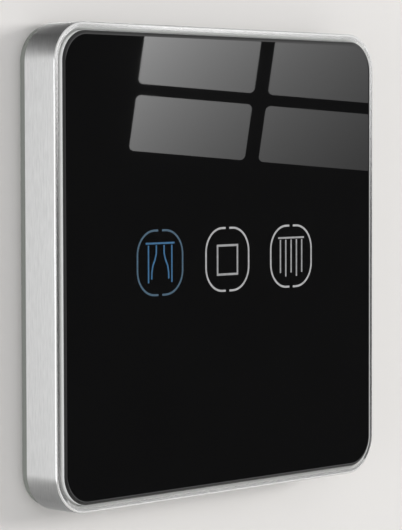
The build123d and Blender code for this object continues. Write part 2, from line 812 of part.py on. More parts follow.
# Terminals: each pole is a moulded block with a rising cage, its captive screw and its contact bar
for pole, pole_x in enumerate(pole_places, start=1):
    with BuildPart() as terminal_block:
        with BuildSketch(face_plane(block_rear)):
            with Locations((pole_x, (block_bottom + block_top) / 2)):
                Rectangle(block_width, block_height)
        extrude(amount=power_board_rear - block_rear)
        chamfer(terminal_block.faces().sort_by(Axis.Y)[-1].edges(), length=block_break)
        with BuildSketch(face_plane(power_board_rear)):
            with Locations((pole_x, (chamber_bottom + chamber_top) / 2)):
                Rectangle(chamber_width, chamber_top - chamber_bottom)
        extrude(amount=-(power_board_rear - pocket_rear), mode=Mode.SUBTRACT)
        with BuildSketch(face_plane(pocket_rear)):
            with Locations((pole_x, clamp_z)):
                Circle(driver_hole_radius)
        extrude(amount=-(pocket_rear - block_rear), mode=Mode.SUBTRACT)
        with BuildSketch(Plane.XY.offset(block_bottom)):
            with Locations((pole_x, -wire_level)):
                Circle(wire_hole_radius)
        extrude(amount=entry_wall, mode=Mode.SUBTRACT)
    finish(terminal_block, f"terminal_block_{pole}")

    with BuildPart() as terminal_cage:
        with BuildSketch(Plane.XY.offset(cage_bottom)) as cage_outline:
            with Locations((pole_x, -(cage_front + nut_rear) / 2)):
                Rectangle(cage_width, cage_front - nut_rear)
            chamfer(cage_outline.vertices(), length=cage_break)
            with Locations((pole_x, -(wire_front + nut_front) / 2)):
                Rectangle(cage_width - 2 * cage_wall, wire_front - nut_front, mode=Mode.SUBTRACT)
        extrude(amount=cage_length)
        with BuildSketch(face_plane(nut_rear)):
            with Locations((pole_x, clamp_z)):
                Circle(terminal_screw_radius + terminal_screw_fit)
        extrude(amount=nut_thickness, mode=Mode.SUBTRACT)
        with BuildSketch(face_plane(wire_front)):
            with Locations((pole_x, clamp_z)):
                with GridLocations(0, cage_length / cage_tooth_count, 1, cage_tooth_count):
                    Rectangle(cage_width - 2 * cage_wall, cage_tooth)
        extrude(amount=cage_tooth, mode=Mode.SUBTRACT)
    finish(terminal_cage, f"terminal_cage_{pole}")

    with BuildPart() as terminal_screw:
        with BuildSketch(face_plane(head_front)):
            with Locations((pole_x, clamp_z)):
                Circle(terminal_screw_radius)
        extrude(amount=bar_rear - screw_tip_gap - head_front)
        with BuildSketch(face_plane(head_rear)):
            with Locations((pole_x, clamp_z)):
                Circle(terminal_head_radius)
        extrude(amount=terminal_head_height)
        with BuildSketch(face_plane(head_rear)):
            with Locations((pole_x, clamp_z)):
                Rectangle(2 * terminal_head_radius, drive_slot_width)
        extrude(amount=drive_slot_depth, mode=Mode.SUBTRACT)
    finish(terminal_screw, f"terminal_screw_{pole}")

    with BuildPart() as contact_bar:
        with BuildSketch(Plane.YZ.offset(pole_x)):
            with Locations((-(bar_front + bar_rear) / 2, (cage_bottom + chamber_top - tail_gap) / 2)):
                Rectangle(bar_thickness, chamber_top - tail_gap - cage_bottom)
        extrude(amount=bar_width / 2, both=True)
        outer_bend = contact_bar.edges().filter_by(Axis.X).group_by(Axis.Z)[-1].sort_by(Axis.Y)[-1]
        chamfer(outer_bend, length=bar_bend)
        with BuildSketch(Plane.YZ.offset(pole_x)):
            with Locations((-(bar_front + power_board_rear - tail_gap) / 2, tail_z)):
                Rectangle(power_board_rear - tail_gap - bar_front, bar_thickness)
        extrude(amount=bar_width / 2, both=True)
        with BuildSketch(Plane.YZ.offset(pole_x)):
            with Locations((-(bar_front + power_board_front + tail_out) / 2, tail_z)):
                Rectangle(power_board_front + tail_out - bar_front, bar_thickness)
        extrude(amount=tail_width / 2, both=True)
    finish(contact_bar, f"contact_bar_{pole}")
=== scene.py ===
import json
from contextlib import contextmanager
from math import atan2, cos, pi, radians, sin

import bpy
from bpy.props import FloatProperty, FloatVectorProperty, IntProperty, PointerProperty
from mathutils import Matrix, Vector


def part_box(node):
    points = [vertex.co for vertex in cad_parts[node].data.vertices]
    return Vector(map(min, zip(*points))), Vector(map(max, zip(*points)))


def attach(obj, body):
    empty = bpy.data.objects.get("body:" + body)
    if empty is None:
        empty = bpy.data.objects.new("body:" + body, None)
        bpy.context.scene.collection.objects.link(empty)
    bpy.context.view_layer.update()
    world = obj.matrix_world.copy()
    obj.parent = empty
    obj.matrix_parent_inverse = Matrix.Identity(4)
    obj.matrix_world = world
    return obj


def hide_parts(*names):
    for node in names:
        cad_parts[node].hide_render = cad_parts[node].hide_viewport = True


bl_info = {
    "name": "Curtain switch looks",
    "version": (1, 0, 0),
    "blender": (4, 5, 0),
    "location": "View3D > Sidebar > Curtain switch",
    "description": "Metal frame, glass, signs, springs, screws and finishes of a touch curtain switch",
    "category": "Object",
}

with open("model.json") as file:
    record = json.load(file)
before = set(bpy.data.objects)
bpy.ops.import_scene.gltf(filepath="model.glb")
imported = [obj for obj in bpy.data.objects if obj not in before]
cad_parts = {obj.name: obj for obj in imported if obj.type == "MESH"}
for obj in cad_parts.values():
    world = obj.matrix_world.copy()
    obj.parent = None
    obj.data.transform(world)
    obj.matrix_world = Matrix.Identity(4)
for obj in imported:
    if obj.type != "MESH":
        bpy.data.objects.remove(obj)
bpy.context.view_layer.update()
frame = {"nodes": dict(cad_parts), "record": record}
nodes = frame["nodes"]
MM = 0.001
MERGE = MM / 1000
ROUNDED = (
    "panel_carrier", "mounting_frame", "rear_housing", "light_shield", "relay_open", "relay_close",
    *(f"terminal_block_{pole}" for pole in range(1, 5)), "line_capacitor", "choke", "fuse",
    "transformer_core", "transformer_winding", "radio_can", "power_board", "touch_board",
)
# Inner edge of the open curtain, in millimetres across and down from the rod
DRAPE = ((1.0, 0.0), (1.0, -1.5), (1.35, -2.6), (1.9, -3.7), (2.15, -4.9), (2.2, -6.1))
# Range of a noise's values that a tint or a roughness is spread over
NOISE_SPAN = (0.3, 0.7)
# Numbers of the colour sockets of a Mix node
MIX_FIRST, MIX_SECOND, MIX_RESULT = 6, 7, 2


# Property helpers

def number(name, description, value, **kind):
    """Number property; the kind holds its subtype, unit and limits."""
    return FloatProperty(name=name, description=description, default=value, **kind)


def length(name, description, millimetres):
    """Length property whose default is given in millimetres."""
    return number(name, description, millimetres * MM, subtype="DISTANCE", unit="LENGTH", precision=5)


def share(name, description, value):
    """Property from 0 to 1."""
    return number(name, description, value, subtype="FACTOR", min=0.0, max=1.0)


def turn(name, description, degrees):
    """Angle property whose default is given in degrees."""
    return number(name, description, radians(degrees), subtype="ANGLE", unit="ROTATION")


def amount(name, description, value, unit="NONE"):
    """Property of an amount from 0 upwards."""
    return number(name, description, value, min=0.0, unit=unit)


def count(name, description, value, least=1):
    """Whole number property."""
    return IntProperty(name=name, description=description, default=value, min=least)


def colour(name, description, *tone):
    """Colour property, as linear values."""
    return FloatVectorProperty(
        name=name, description=description, default=tone, size=3, subtype="COLOR", min=0.0, max=1.0
    )


def lengths(name, description, *millimetres):
    """Property of two or three lengths, such as a place, given in millimetres."""
    metres = [value * MM for value in millimetres]
    return FloatVectorProperty(
        name=name, description=description, default=metres, size=len(metres), subtype="XYZ", unit="LENGTH"
    )


# Settings

class SwitchFrameSettings(bpy.types.PropertyGroup):
    """Sizes and finish of the metal trim frame."""

    corner: length("Corner", "Radius of the outer corners", 7.2)
    wall: length("Wall", "Thickness of the side wall", 1.35)
    bead: length("Bead", "Rounding of the outer front edge", 0.28)
    lip_flat: length("Flat lip", "Width of the flat part of the lip", 0.45)
    lip_drop: length("Lip drop", "Fall of the lip towards the glass", 0.1)
    lip_chamfer: length("Lip chamfer", "Chamfer between lip and pocket", 0.4)
    ledge: length("Ledge", "Width of the ledge under the glass", 2.7)
    ledge_front: length("Ledge front", "Height of the ledge's front above the wall", 5.65)
    ledge_rear: length("Ledge rear", "Height of the ledge's rear above the wall", 4.65)
    rear_break: length("Rear edge", "Rounding of the rear edges", 0.15)
    corner_steps: count("Corner steps", "Faces round each corner", 28, 4)
    metal: colour("Metal", "Colour of the brushed metal", 0.83, 0.83, 0.825)
    roughness: share("Roughness", "Roughness of the brushed side", 0.34)
    brushing: share("Brushing", "How much the brushing draws the reflections out", 0.75)
    lip_roughness: share("Lip roughness", "Roughness of the polished lip", 0.22)
    lip_brushing: share("Lip brushing", "How much the polish draws the reflections out", 0.85)
    lip_reach: share("Lip reach", "How far the polish reaches onto the rounded edge", 0.2)


class SwitchGlassSettings(bpy.types.PropertyGroup):
    """Sizes and finish of the glass panel."""

    corner: length("Corner", "Radius of the glass corners", 5.75)
    corner_steps: count("Corner steps", "Faces round each corner", 28, 4)
    edge_width: length("Edge width", "Width of the rounded front edge", 0.62)
    edge_depth: length("Edge depth", "Depth of the rounded front edge", 0.55)
    edge_steps: count("Edge steps", "Faces across the rounded edge", 7, 2)
    face_border: length("Face border", "Width of the strip between rounded edge and flat face", 0.15)
    print_depth: length("Print depth", "How far the signs stand in front of the glass", 0.02)
    black: colour("Black", "Colour of the glass seen from the front", 0.0042, 0.0042, 0.0044)
    ground: colour("Ground edge", "Colour of the ground side of the glass", 0.88, 0.89, 0.88)
    ground_reach: share("Ground reach", "How far the ground side reaches onto the rounded edge", 0.42)
    roughness: share("Roughness", "Roughness of the polished face", 0.004)


class SwitchSignSettings(bpy.types.PropertyGroup):
    """Sizes and light of the three signs."""

    pitch: length("Pitch", "Distance from sign to sign", 17.8)
    lift: length("Lift", "Height of the signs above the middle of the glass", 0.4)
    ring: length("Ring", "Side of each ring, along the middle of its stroke", 11.6)
    ring_corner: length("Ring corner", "Corner radius of each ring", 4.4)
    ring_gap: length("Ring gap", "Opening at the top and bottom of each ring", 1.0)
    ring_steps: count("Ring steps", "Straight runs round each corner of a ring", 12, 3)
    stroke: length("Stroke", "Width of the rings' strokes", 0.38)
    thin_stroke: length("Thin stroke", "Width of the curtains' strokes", 0.34)
    bold_stroke: length("Bold stroke", "Width of the stop square's stroke", 0.56)
    rod: length("Rod", "Length of the curtain rod", 7.4)
    rod_height: length("Rod height", "Height of the curtain rod above the sign's middle", 3.5)
    curtain_drop: length("Curtain drop", "How far the open curtain's outer edge reaches below the rod", 7.1)
    curtain_edge: length("Curtain edge", "Distance of the open curtain's outer edge from the middle", 3.0)
    stop_width: length("Stop width", "Width of the stop square, along the middle of its stroke", 5.4)
    stop_height: length("Stop height", "Height of the stop square, along the middle of its stroke", 5.35)
    stop_fall: length("Stop fall", "How far the stop square sits below the middle", 0.1)
    pleat_pitch: length("Pleat pitch", "Distance between the pleats of the closed curtain", 1.53)
    long_pleat: length("Long pleat", "Length of every second pleat", 7.0)
    short_pleat: length("Short pleat", "Length of the other pleats", 6.3)
    blue: colour("Blue", "Colour of the lit sign", 0.007, 0.095, 0.215)
    blue_ring: colour("Blue ring", "Colour of the lit sign's ring", 0.026, 0.074, 0.12)
    white: colour("White", "Colour of the other rings", 0.38, 0.38, 0.385)
    pale: colour("Pale", "Colour of the other signs", 0.29, 0.29, 0.295)
    glow: amount("Glow", "Strength of the signs' light", 1.0)


class SwitchSpringSettings(bpy.types.PropertyGroup):
    """Sizes of the three touch springs."""

    wire: length("Wire", "Diameter of the wire", 0.5)
    radius: length("Radius", "Radius of the coil", 4.0)
    top_radius: length("Top radius", "Radius of the flat turn's end", 2.6)
    turns: count("Turns", "Turns that climb", 2)
    rise: length("Rise", "Height at which the coil leaves its foot", 1.35)
    foot_back: length("Foot", "Distance of the foot behind the coil's start", 0.9)
    steps: count("Steps", "Points in each turn", 48, 12)


class SwitchScrewSettings(bpy.types.PropertyGroup):
    """Sizes of the screws, their threads and their drives."""

    head: length("Head", "Radius of the housing screws' heads", 2.05)
    head_edge: length("Head edge", "Height of the heads' straight edge", 0.15)
    core: length("Core", "Radius of the housing screws' core", 0.85)
    thread: length("Thread", "Pitch of the housing screws' thread", 0.8)
    thread_wire: length("Thread height", "Half height of the housing screws' thread", 0.22)
    cross_length: length("Cross length", "Length of the cross drive's arms", 2.3)
    cross_width: length("Cross width", "Width of the cross drive's arms", 0.55)
    cross_depth: length("Cross depth", "Depth of the cross drive", 0.8)
    clamp_core: length("Clamp core", "Radius of the clamp screws' core", 1.3)
    clamp_thread: length("Clamp thread", "Pitch of the clamp screws' thread", 0.5)
    clamp_thread_wire: length("Clamp thread height", "Half height of the clamp screws' thread", 0.16)
    clamp_head: length("Clamp head", "Height of the clamp screws' heads", 2.0)
    slot_width: length("Slot width", "Width of the clamp screws' slots", 0.8)
    slot_depth: length("Slot depth", "Depth of the clamp screws' slots", 0.9)
    edge: length("Edge", "Rounding of the heads", 0.12)
    steps: count("Steps", "Faces round a screw", 32, 8)
    thread_steps: count("Thread steps", "Points in each turn of a thread", 20, 8)


class SwitchBoardSettings(bpy.types.PropertyGroup):
    """Sizes of the capacitors' cans and the small parts of the boards."""

    can_steps: count("Can steps", "Faces round a can", 48, 8)
    can_round: length("Can rounding", "Rounding of the cans' shoulders", 0.4)
    roll_height: length("Roll height", "Height of the rolled groove above the board", 1.4)
    roll_depth: length("Roll depth", "Depth of the rolled groove", 0.3)
    sleeve_lip: length("Sleeve lip", "Width of the sleeve's lip on the top", 0.45)
    top_drop: length("Top drop", "How far the bare top lies below the lip", 0.2)
    vent_length: share("Vent length", "Share of the top's width that a score line takes", 0.8)
    vent_width: length("Vent width", "Width of the score lines on the top", 0.22)
    vent_depth: length("Vent depth", "Depth of the score lines on the top", 0.12)
    part_length: length("Part length", "Length of a small board part", 1.6)
    part_width: length("Part width", "Width of a small board part", 0.8)
    part_height: length("Part height", "Height of a small board part", 0.5)
    part_body: share("Part body", "Height of its body as a share of its ends' height", 0.9)
    part_end: length("Part end", "Length of its soldered ends", 0.3)
    part_edge: length("Part edge", "Rounding of its soldered ends", 0.08)
    part_pitch: length("Part pitch", "Distance between the small parts", 5.6)
    part_row: length("Part row", "Height of their row below the signs", 12.5)
    part_count: count("Part count", "Small parts in a row", 6)
    film: length("Film", "Thickness of printed marks and copper", 0.035)
    dot: length("Dot", "Radius of the touch chip's pin-one dot", 0.35)
    dot_inset: length("Dot inset", "Distance of the dot from the chip's corner", 1.1)
    dot_steps: count("Dot steps", "Faces round the dot", 24, 8)
    antenna_edge: length("Antenna edge", "Bare board round the antenna", 0.9)
    antenna_width: length("Antenna width", "Width of the antenna's line", 0.4)
    antenna_folds: count("Antenna folds", "Folds of the antenna's line", 11, 3)


class SwitchPlasticSettings(bpy.types.PropertyGroup):
    """Edges and colours of the moulded parts."""

    soft_edge: length("Soft edge", "Rounding of moulded edges", 0.14)
    carrier: colour("Carrier", "Colour of the panel carrier", 0.022, 0.022, 0.024)
    flange: colour("Flange", "Colour of the mounting flange", 0.25, 0.265, 0.245)
    housing: colour("Housing", "Colour of the rear housing", 0.70, 0.70, 0.67)
    shield: colour("Shield", "Colour of the light shield", 0.80, 0.80, 0.78)
    terminal: colour("Terminal", "Colour of the terminal blocks", 0.035, 0.15, 0.062)
    relay: colour("Relay", "Colour of the relays", 0.012, 0.05, 0.20)


class SwitchStageSettings(bpy.types.PropertyGroup):
    """Camera, wall, floor and lights."""

    azimuth: turn("Azimuth", "Direction of the camera round the switch", -46.607)
    elevation: turn("Elevation", "Height of the camera above the horizon", 2.738)
    roll: turn("Roll", "Turn of the camera about its axis", -0.136)
    distance: length("Distance", "Distance of the camera", 448.43)
    aim_at: lengths("Aim", "Point that the camera looks at, across and up", -6.471, -0.453)
    lens: amount("Lens", "Focal length", 166.29, "CAMERA")
    sensor: amount("Sensor", "Width of the camera's sensor", 36.0, "CAMERA")
    wall: colour("Wall", "Colour of the wall", 0.79, 0.775, 0.765)
    wall_side: length("Wall side", "Side of the wall", 6000)
    wall_gap: length("Wall gap", "Distance of the wall behind the flange", 0.1)
    wall_hole: length("Wall hole", "Side of the hole in the wall, which the flange covers", 84.6)
    wall_hole_corner: length("Hole corner", "Corner radius of the hole in the wall", 6.6)
    floor: colour("Floor", "Colour of the floor", 0.80, 0.80, 0.79)
    floor_drop: length("Floor drop", "Height of the switch above the floor", 900)
    room: colour("Room", "Light of the room", 0.70, 0.70, 0.70)
    warm: colour("Warm", "Colour of the large lamps", 1.0, 0.99, 0.97)
    cool: colour("Cool", "Colour of the small lamp", 0.97, 0.98, 1.0)
    key_at: lengths("Key place", "Place of the large lamp", 1000, -740, 200)
    key_size: lengths("Key size", "Width and height of the large lamp", 900, 300)
    key_power: amount("Key light", "Power of the large lamps", 9.0, "POWER")
    fill_at: lengths("Fill place", "Place of the small lamp", -1050, -250, -120)
    fill_size: lengths("Fill size", "Width and height of the small lamp", 650, 650)
    fill_power: amount("Fill light", "Power of the small lamp", 2.4, "POWER")
    rear_at: lengths("Rear place", "Place of the lamp behind the wall", 600, 900, 900)
    rear_size: lengths("Rear size", "Width and height of the lamp behind the wall", 800, 800)
    shade_size: lengths("Shade size", "Width and depth of the cards that shade the reflections", 2400, 900)
    shade_above: lengths("Shade above", "Place of the upper card", -500, 460, 600)
    shade_below: lengths("Shade below", "Place of the lower card", -500, 570, -600)
    tone_above: amount("Tone above", "Tone of the upper card", 0.05)
    tone_below: amount("Tone below", "Tone of the lower card", 0.22)
    window_at: lengths("Window place", "Point of the glass that mirrors the window", 9.57, 30.27)
    window_away: length("Window distance", "Distance of the window from the glass", 1500)
    window_shift: lengths("Window shift", "Shift of the panes in the window's plane", 1.5, -1.2)
    window_lean: turn("Window lean", "Lean of the window's uprights", 8.2)
    window_fall: turn("Window fall", "Fall of the window's bars", 5.0)
    window_glow: amount("Window glow", "Strength of the window's light", 1.87)
    window_fade: length("Window fade", "Diagonal way over which the window's light fades", 134)
    flag_size: lengths("Flag size", "Width and height of the dark flag behind the window", 1100, 410)
    flag_at: lengths("Flag place", "Place of the flag's middle, counted from the window's", 35, -150, 0)
    flag_gap: length("Flag gap", "Distance from window to flag and from flag to reflector", 10)
    reflector_size: lengths("Reflector size", "Width and height of the lip's reflector", 1600, 1200)
    reflector_glow: amount("Reflector glow", "Tone of the lip's reflector", 1.25)
    pane_size: lengths("Pane size", "Width and height of a pane", 93, 45)
    pane_at: lengths("Pane place", "Distances of a pane's middle from the window's", 52, 27)
    pane_corner: length("Pane corner", "Corner radius of a pane", 4)


# Modelling helpers

def pick_only(piece):
    """Leave one object selected and active."""
    bpy.ops.object.select_all(action="DESELECT")
    piece.select_set(True)
    bpy.context.view_layer.objects.active = piece


@contextmanager
def editing(piece, whole=True):
    """Stay in edit mode with the whole piece selected, or with what was selected last."""
    pick_only(piece)
    bpy.ops.object.mode_set(mode="EDIT")
    if whole:
        bpy.ops.mesh.select_all(action="SELECT")
    yield
    bpy.ops.object.mode_set(mode="OBJECT")


def fresh(primitive, **sizes):
    """Add a primitive with nothing else selected."""
    bpy.ops.object.select_all(action="DESELECT")
    primitive(**sizes)
    return bpy.context.object


def link_new(name, data):
    """New object in the scene that holds some data."""
    thing = bpy.data.objects.new(name, data)
    bpy.context.scene.collection.objects.link(thing)
    return thing


def apply_place(piece):
    """Put a piece's place, turn and scale into its mesh."""
    pick_only(piece)
    bpy.ops.object.transform_apply(location=True, rotation=True, scale=True)
    return piece


def settle(piece, name):
    """Name a piece and leave its object at the origin."""
    piece.name = name
    piece.data.name = name
    return apply_place(piece)


def modify(piece, kind, **settings):
    """Add a modifier to a piece and apply it."""
    pick_only(piece)
    modifier = piece.modifiers.new(kind.lower(), kind)
    for key, value in settings.items():
        setattr(modifier, key, value)
    bpy.ops.object.modifier_apply(modifier=modifier.name)


def finish_faces(piece, smooth, outward=True):
    """Merge doubles, turn faces outwards and smooth the edges below an angle in degrees."""
    with editing(piece):
        bpy.ops.mesh.remove_doubles(threshold=MERGE)
        if outward:
            bpy.ops.mesh.normals_make_consistent(inside=False)
    bpy.ops.object.shade_smooth_by_angle(angle=radians(smooth))
    return piece


def bevel_edges(piece, width, sharp=40):
    """Round the edges that turn by more than an angle in degrees."""
    angle = radians(sharp)
    modify(piece, "BEVEL", width=width, segments=2, limit_method="ANGLE", angle_limit=angle)
    bpy.ops.object.shade_smooth_by_angle(angle=angle)
    modify(piece, "WEIGHTED_NORMAL", keep_sharp=True)
    return piece


def join(pieces, name):
    """Join several pieces into one."""
    pick_only(pieces[0])
    for piece in pieces:
        piece.select_set(True)
    bpy.ops.object.join()
    return settle(pieces[0], name)


def dress(piece, *materials):
    """Give a piece its materials."""
    piece.data.materials.clear()
    for material in materials:
        piece.data.materials.append(material)
    return piece


def place(piece, body, slot, *replaced):
    """Let a piece ride on its body and stand for CAD nodes, which it hides; the slot is not used."""
    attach(piece, body)
    if replaced:
        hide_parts(*replaced)
    return piece


def quarter_turn(steps):
    """Angles from 0 to 90 degrees in even steps."""
    return [pi / 2 * step / steps for step in range(steps + 1)]


def loop_through(points):
    """Closed loop of edges through a list of points."""
    loop = fresh(bpy.ops.mesh.primitive_circle_add, vertices=len(points), fill_type="NOTHING")
    for vertex, point in zip(loop.data.vertices, points):
        vertex.co = point
    return loop


def rectangle(size, location=(0, 0, 0), rotation=(0, 0, 0)):
    """Flat rectangle of a size at a place."""
    flat = fresh(bpy.ops.mesh.primitive_plane_add, size=1, location=location, rotation=rotation)
    flat.scale = (*size, 1)
    return apply_place(flat)


def block(centre, size, turned=0.0):
    """Plain box of a size round a centre, turned about a line along Y."""
    box = fresh(bpy.ops.mesh.primitive_cube_add, size=1, location=centre, rotation=(0, turned, 0))
    box.scale = size
    return apply_place(box)


def sweep_round_square(profile, side, corner, steps):
    """Sweep a closed profile of (inset, level) points round a square with rounded corners."""
    half = side / 2 - corner
    ring = loop_through([(-side / 2 + inset, -level, -half) for inset, level in profile])
    with editing(ring):
        for along, centre in (
            ((0, 0, 1), (-half, 0, half)),
            ((1, 0, 0), (half, 0, half)),
            ((0, 0, -1), (half, 0, -half)),
            ((-1, 0, 0), (-half, 0, -half)),
        ):
            bpy.ops.mesh.extrude_region_move(
                TRANSFORM_OT_translate={"value": Vector(along) * 2 * half}
            )
            bpy.ops.mesh.spin(steps=steps, angle=pi / 2, center=centre, axis=(0, -1, 0))
    return ring


def round_square_slab(profile, corner, steps):
    """Slab in outline a square with rounded corners; profile gives (half side, level) from the rear."""
    (half, rear), (_, first) = profile[:2]
    slab = rectangle((2 * half, 2 * half), (0, -rear, 0), (pi / 2, 0, 0))
    with editing(slab):
        bpy.ops.mesh.bevel(offset=corner, affect="VERTICES", segments=steps, profile=0.5)
        bpy.ops.mesh.select_all(action="SELECT")
        bpy.ops.mesh.extrude_region_move(TRANSFORM_OT_translate={"value": (0, rear - first, 0)})
        for (wide, below), (narrow, level) in zip(profile[1:-1], profile[2:]):
            bpy.ops.mesh.inset(thickness=wide - narrow, use_even_offset=True)
            bpy.ops.transform.translate(value=(0, below - level, 0))
    return slab


def lathe(profile, centre, steps):
    """Solid turned about a line along Y through a centre; profile gives (radius, y), from line to line."""
    turned = loop_through([(centre.x + radius, y, centre.z) for radius, y in profile])
    with editing(turned):
        bpy.ops.mesh.spin(steps=steps, angle=2 * pi, center=(centre.x, 0, centre.z), axis=(0, -1, 0))
        bpy.ops.mesh.select_all(action="SELECT")
        bpy.ops.mesh.remove_doubles(threshold=MERGE)
        bpy.ops.mesh.dissolve_degenerate(threshold=MERGE)
        bpy.ops.mesh.normals_make_consistent(inside=False)
    return turned


def cut(piece, cutter):
    """Take one solid out of another."""
    modify(piece, "BOOLEAN", operation="DIFFERENCE", solver="EXACT", object=cutter)
    bpy.data.objects.remove(cutter)


def stroke_curve(name, strokes):
    """Curve of straight runs; a stroke is its points and whether it is closed."""
    curve = bpy.data.curves.new(name, "CURVE")
    curve.dimensions = "3D"
    curve.use_fill_caps = True
    for points, closed in strokes:
        spline = curve.splines.new("POLY")
        spline.points.add(len(points) - 1)
        for target, point in zip(spline.points, points):
            target.co = (*Vector(point).to_3d(), 1)
        spline.use_cyclic_u = closed
    return curve


def curve_mesh(curve):
    """Mesh of a curve with its section."""
    pick_only(link_new(curve.name, curve))
    bpy.ops.object.convert(target="MESH")
    return bpy.context.object


def stroke_mesh(strokes, width, thickness, centre):
    """Flat bars along strokes, which stand in the XZ plane round a centre."""
    outline = [(x * width / 2, y * thickness / 2) for x, y in ((-1, -1), (1, -1), (1, 1), (-1, 1))]
    section = link_new("section", stroke_curve("section", [(outline, True)]))
    section.data.dimensions = "2D"
    curve = stroke_curve("strokes", strokes)
    curve.twist_mode = "Z_UP"
    curve.bevel_mode = "OBJECT"
    curve.bevel_object = section
    bars = curve_mesh(curve)
    bpy.data.objects.remove(section)
    bars.rotation_euler = (pi / 2, 0, 0)
    bars.location = centre
    return bars


def wire_mesh(points, radius, sides):
    """Round wire along a list of points."""
    curve = stroke_curve("wire", [(points, False)])
    curve.bevel_depth = radius
    curve.bevel_resolution = sides // 4
    return curve_mesh(curve)


def thread(centre, radius, first, last, pitch, wire, turn_steps):
    """Helical ridge about a line along Y, from one y to another."""
    turns = (last - first) / pitch
    steps = int(turns * turn_steps)
    points = []
    for step in range(steps + 1):
        angle = 2 * pi * turns * step / steps
        y = first + (last - first) * step / steps
        points.append((centre.x + radius * cos(angle), y, centre.z + radius * sin(angle)))
    return wire_mesh(points, wire, 4)


# Material helpers

def new_material(name, kind="ShaderNodeBsdfPrincipled"):
    """Material of one shader; returns the material, its tree and the shader."""
    material = bpy.data.materials.new(name)
    material.use_nodes = True
    tree = material.node_tree
    tree.nodes.clear()
    shader = tree.nodes.new(kind)
    tree.links.new(shader.outputs[0], tree.nodes.new("ShaderNodeOutputMaterial").inputs["Surface"])
    return material, tree, shader


def link_or_set(tree, socket, value):
    """Link an output to a socket, or set the socket's value; a colour gets its alpha here."""
    if isinstance(value, bpy.types.NodeSocket):
        tree.links.new(value, socket)
    else:
        socket.default_value = (*value, 1) if socket.type == "RGBA" else value


def feed(tree, node, **values):
    """Link or set a node's inputs; an underscore in a key stands for a space."""
    for key, value in values.items():
        link_or_set(tree, node.inputs[key.replace("_", " ")], value)


def add(tree, kind, settings=None, **values):
    """Add a node, set its settings and feed its inputs."""
    node = tree.nodes.new(kind)
    for key, value in (settings or {}).items():
        setattr(node, key, value)
    feed(tree, node, **values)
    return node


def math_node(tree, operation, first, second=0.0):
    """Result of a math operation."""
    node = add(tree, "ShaderNodeMath", {"operation": operation})
    link_or_set(tree, node.inputs[0], first)
    link_or_set(tree, node.inputs[1], second)
    return node.outputs[0]


def remap(tree, value, span, to=(0.0, 1.0)):
    """Value carried from one range to another, kept inside it."""
    limits = {"From_Min": span[0], "From_Max": span[1], "To_Min": to[0], "To_Max": to[1]}
    return add(tree, "ShaderNodeMapRange", Value=value, **limits).outputs["Result"]


def blend_colours(tree, factor, first, second):
    """Mix of two colours."""
    node = add(tree, "ShaderNodeMix", {"data_type": "RGBA"}, Factor=factor)
    link_or_set(tree, node.inputs[MIX_FIRST], first)
    link_or_set(tree, node.inputs[MIX_SECOND], second)
    return node.outputs[MIX_RESULT]


def scaled(tone, factor):
    """A colour made lighter or darker."""
    return tuple(min(1.0, channel * factor) for channel in tone)


def tinted(tree, pattern, tone, dark, light):
    """Tone that a pattern carries from a darker to a lighter shade."""
    return blend_colours(tree, pattern, scaled(tone, dark), scaled(tone, light))


def object_place(tree, stretch=(1, 1, 1), turned=(0, 0, 0)):
    """Object coordinates, stretched and turned."""
    where = tree.nodes.new("ShaderNodeTexCoord").outputs["Object"]
    return add(tree, "ShaderNodeMapping", Vector=where, Scale=stretch, Rotation=turned).outputs["Vector"]


def split_place(tree):
    """Object coordinates as single numbers."""
    return add(tree, "ShaderNodeSeparateXYZ", Vector=object_place(tree)).outputs


def noise(tree, where, size, detail=3.0, roughness=0.55):
    """Noise value at a place; the size is in millimetres."""
    scale = 1 / (size * MM)
    node = add(tree, "ShaderNodeTexNoise", Vector=where, Scale=scale, Detail=detail, Roughness=roughness)
    return node.outputs["Fac"]


def cells(tree, where, size, randomness, distance="EUCLIDEAN"):
    """Distance from the middles of scattered cells; the size is in millimetres."""
    scale, settings = 1 / (size * MM), {"distance": distance}
    node = add(tree, "ShaderNodeTexVoronoi", settings, Vector=where, Scale=scale, Randomness=randomness)
    return node.outputs["Distance"]


def bump(tree, shader, height, depth, strength=1.0):
    """Drive the shader's normal by a height; the depth is in millimetres."""
    node = add(tree, "ShaderNodeBump", Height=height, Distance=depth * MM, Strength=strength)
    feed(tree, shader, Normal=node.outputs["Normal"])


def moulded_plastic(name, tone, roughness=0.45, grain_size=0.12, grain_depth=0.004):
    """Moulded plastic: fine eroded grain and a faint cloud of colour."""
    material, tree, shader = new_material(name)
    where = object_place(tree)
    cloud = noise(tree, where, size=25, detail=2.0)
    grain = noise(tree, where, grain_size, detail=4.0, roughness=0.6)
    base = tinted(tree, remap(tree, cloud, NOISE_SPAN), tone, dark=0.98, light=1.02)
    rough = remap(tree, grain, NOISE_SPAN, (roughness - 0.06, roughness + 0.08))
    feed(tree, shader, Base_Color=base, Roughness=rough)
    bump(tree, shader, grain, grain_depth)
    return material


def plain_metal(name, tone, roughness=0.3, scratch=(1, 1, 1), grain_size=0.2):
    """Plated or rolled metal with fine scratches."""
    material, tree, shader = new_material(name)
    streak = noise(tree, object_place(tree, scratch), grain_size, detail=4.0, roughness=0.65)
    cloud = noise(tree, object_place(tree), size=1.6)
    base = tinted(tree, remap(tree, cloud, NOISE_SPAN), tone, dark=0.9, light=1.06)
    rough = remap(tree, streak, NOISE_SPAN, (max(0.05, roughness - 0.1), roughness + 0.12))
    feed(tree, shader, Base_Color=base, Metallic=1.0, Roughness=rough)
    bump(tree, shader, streak, depth=0.002)
    return material


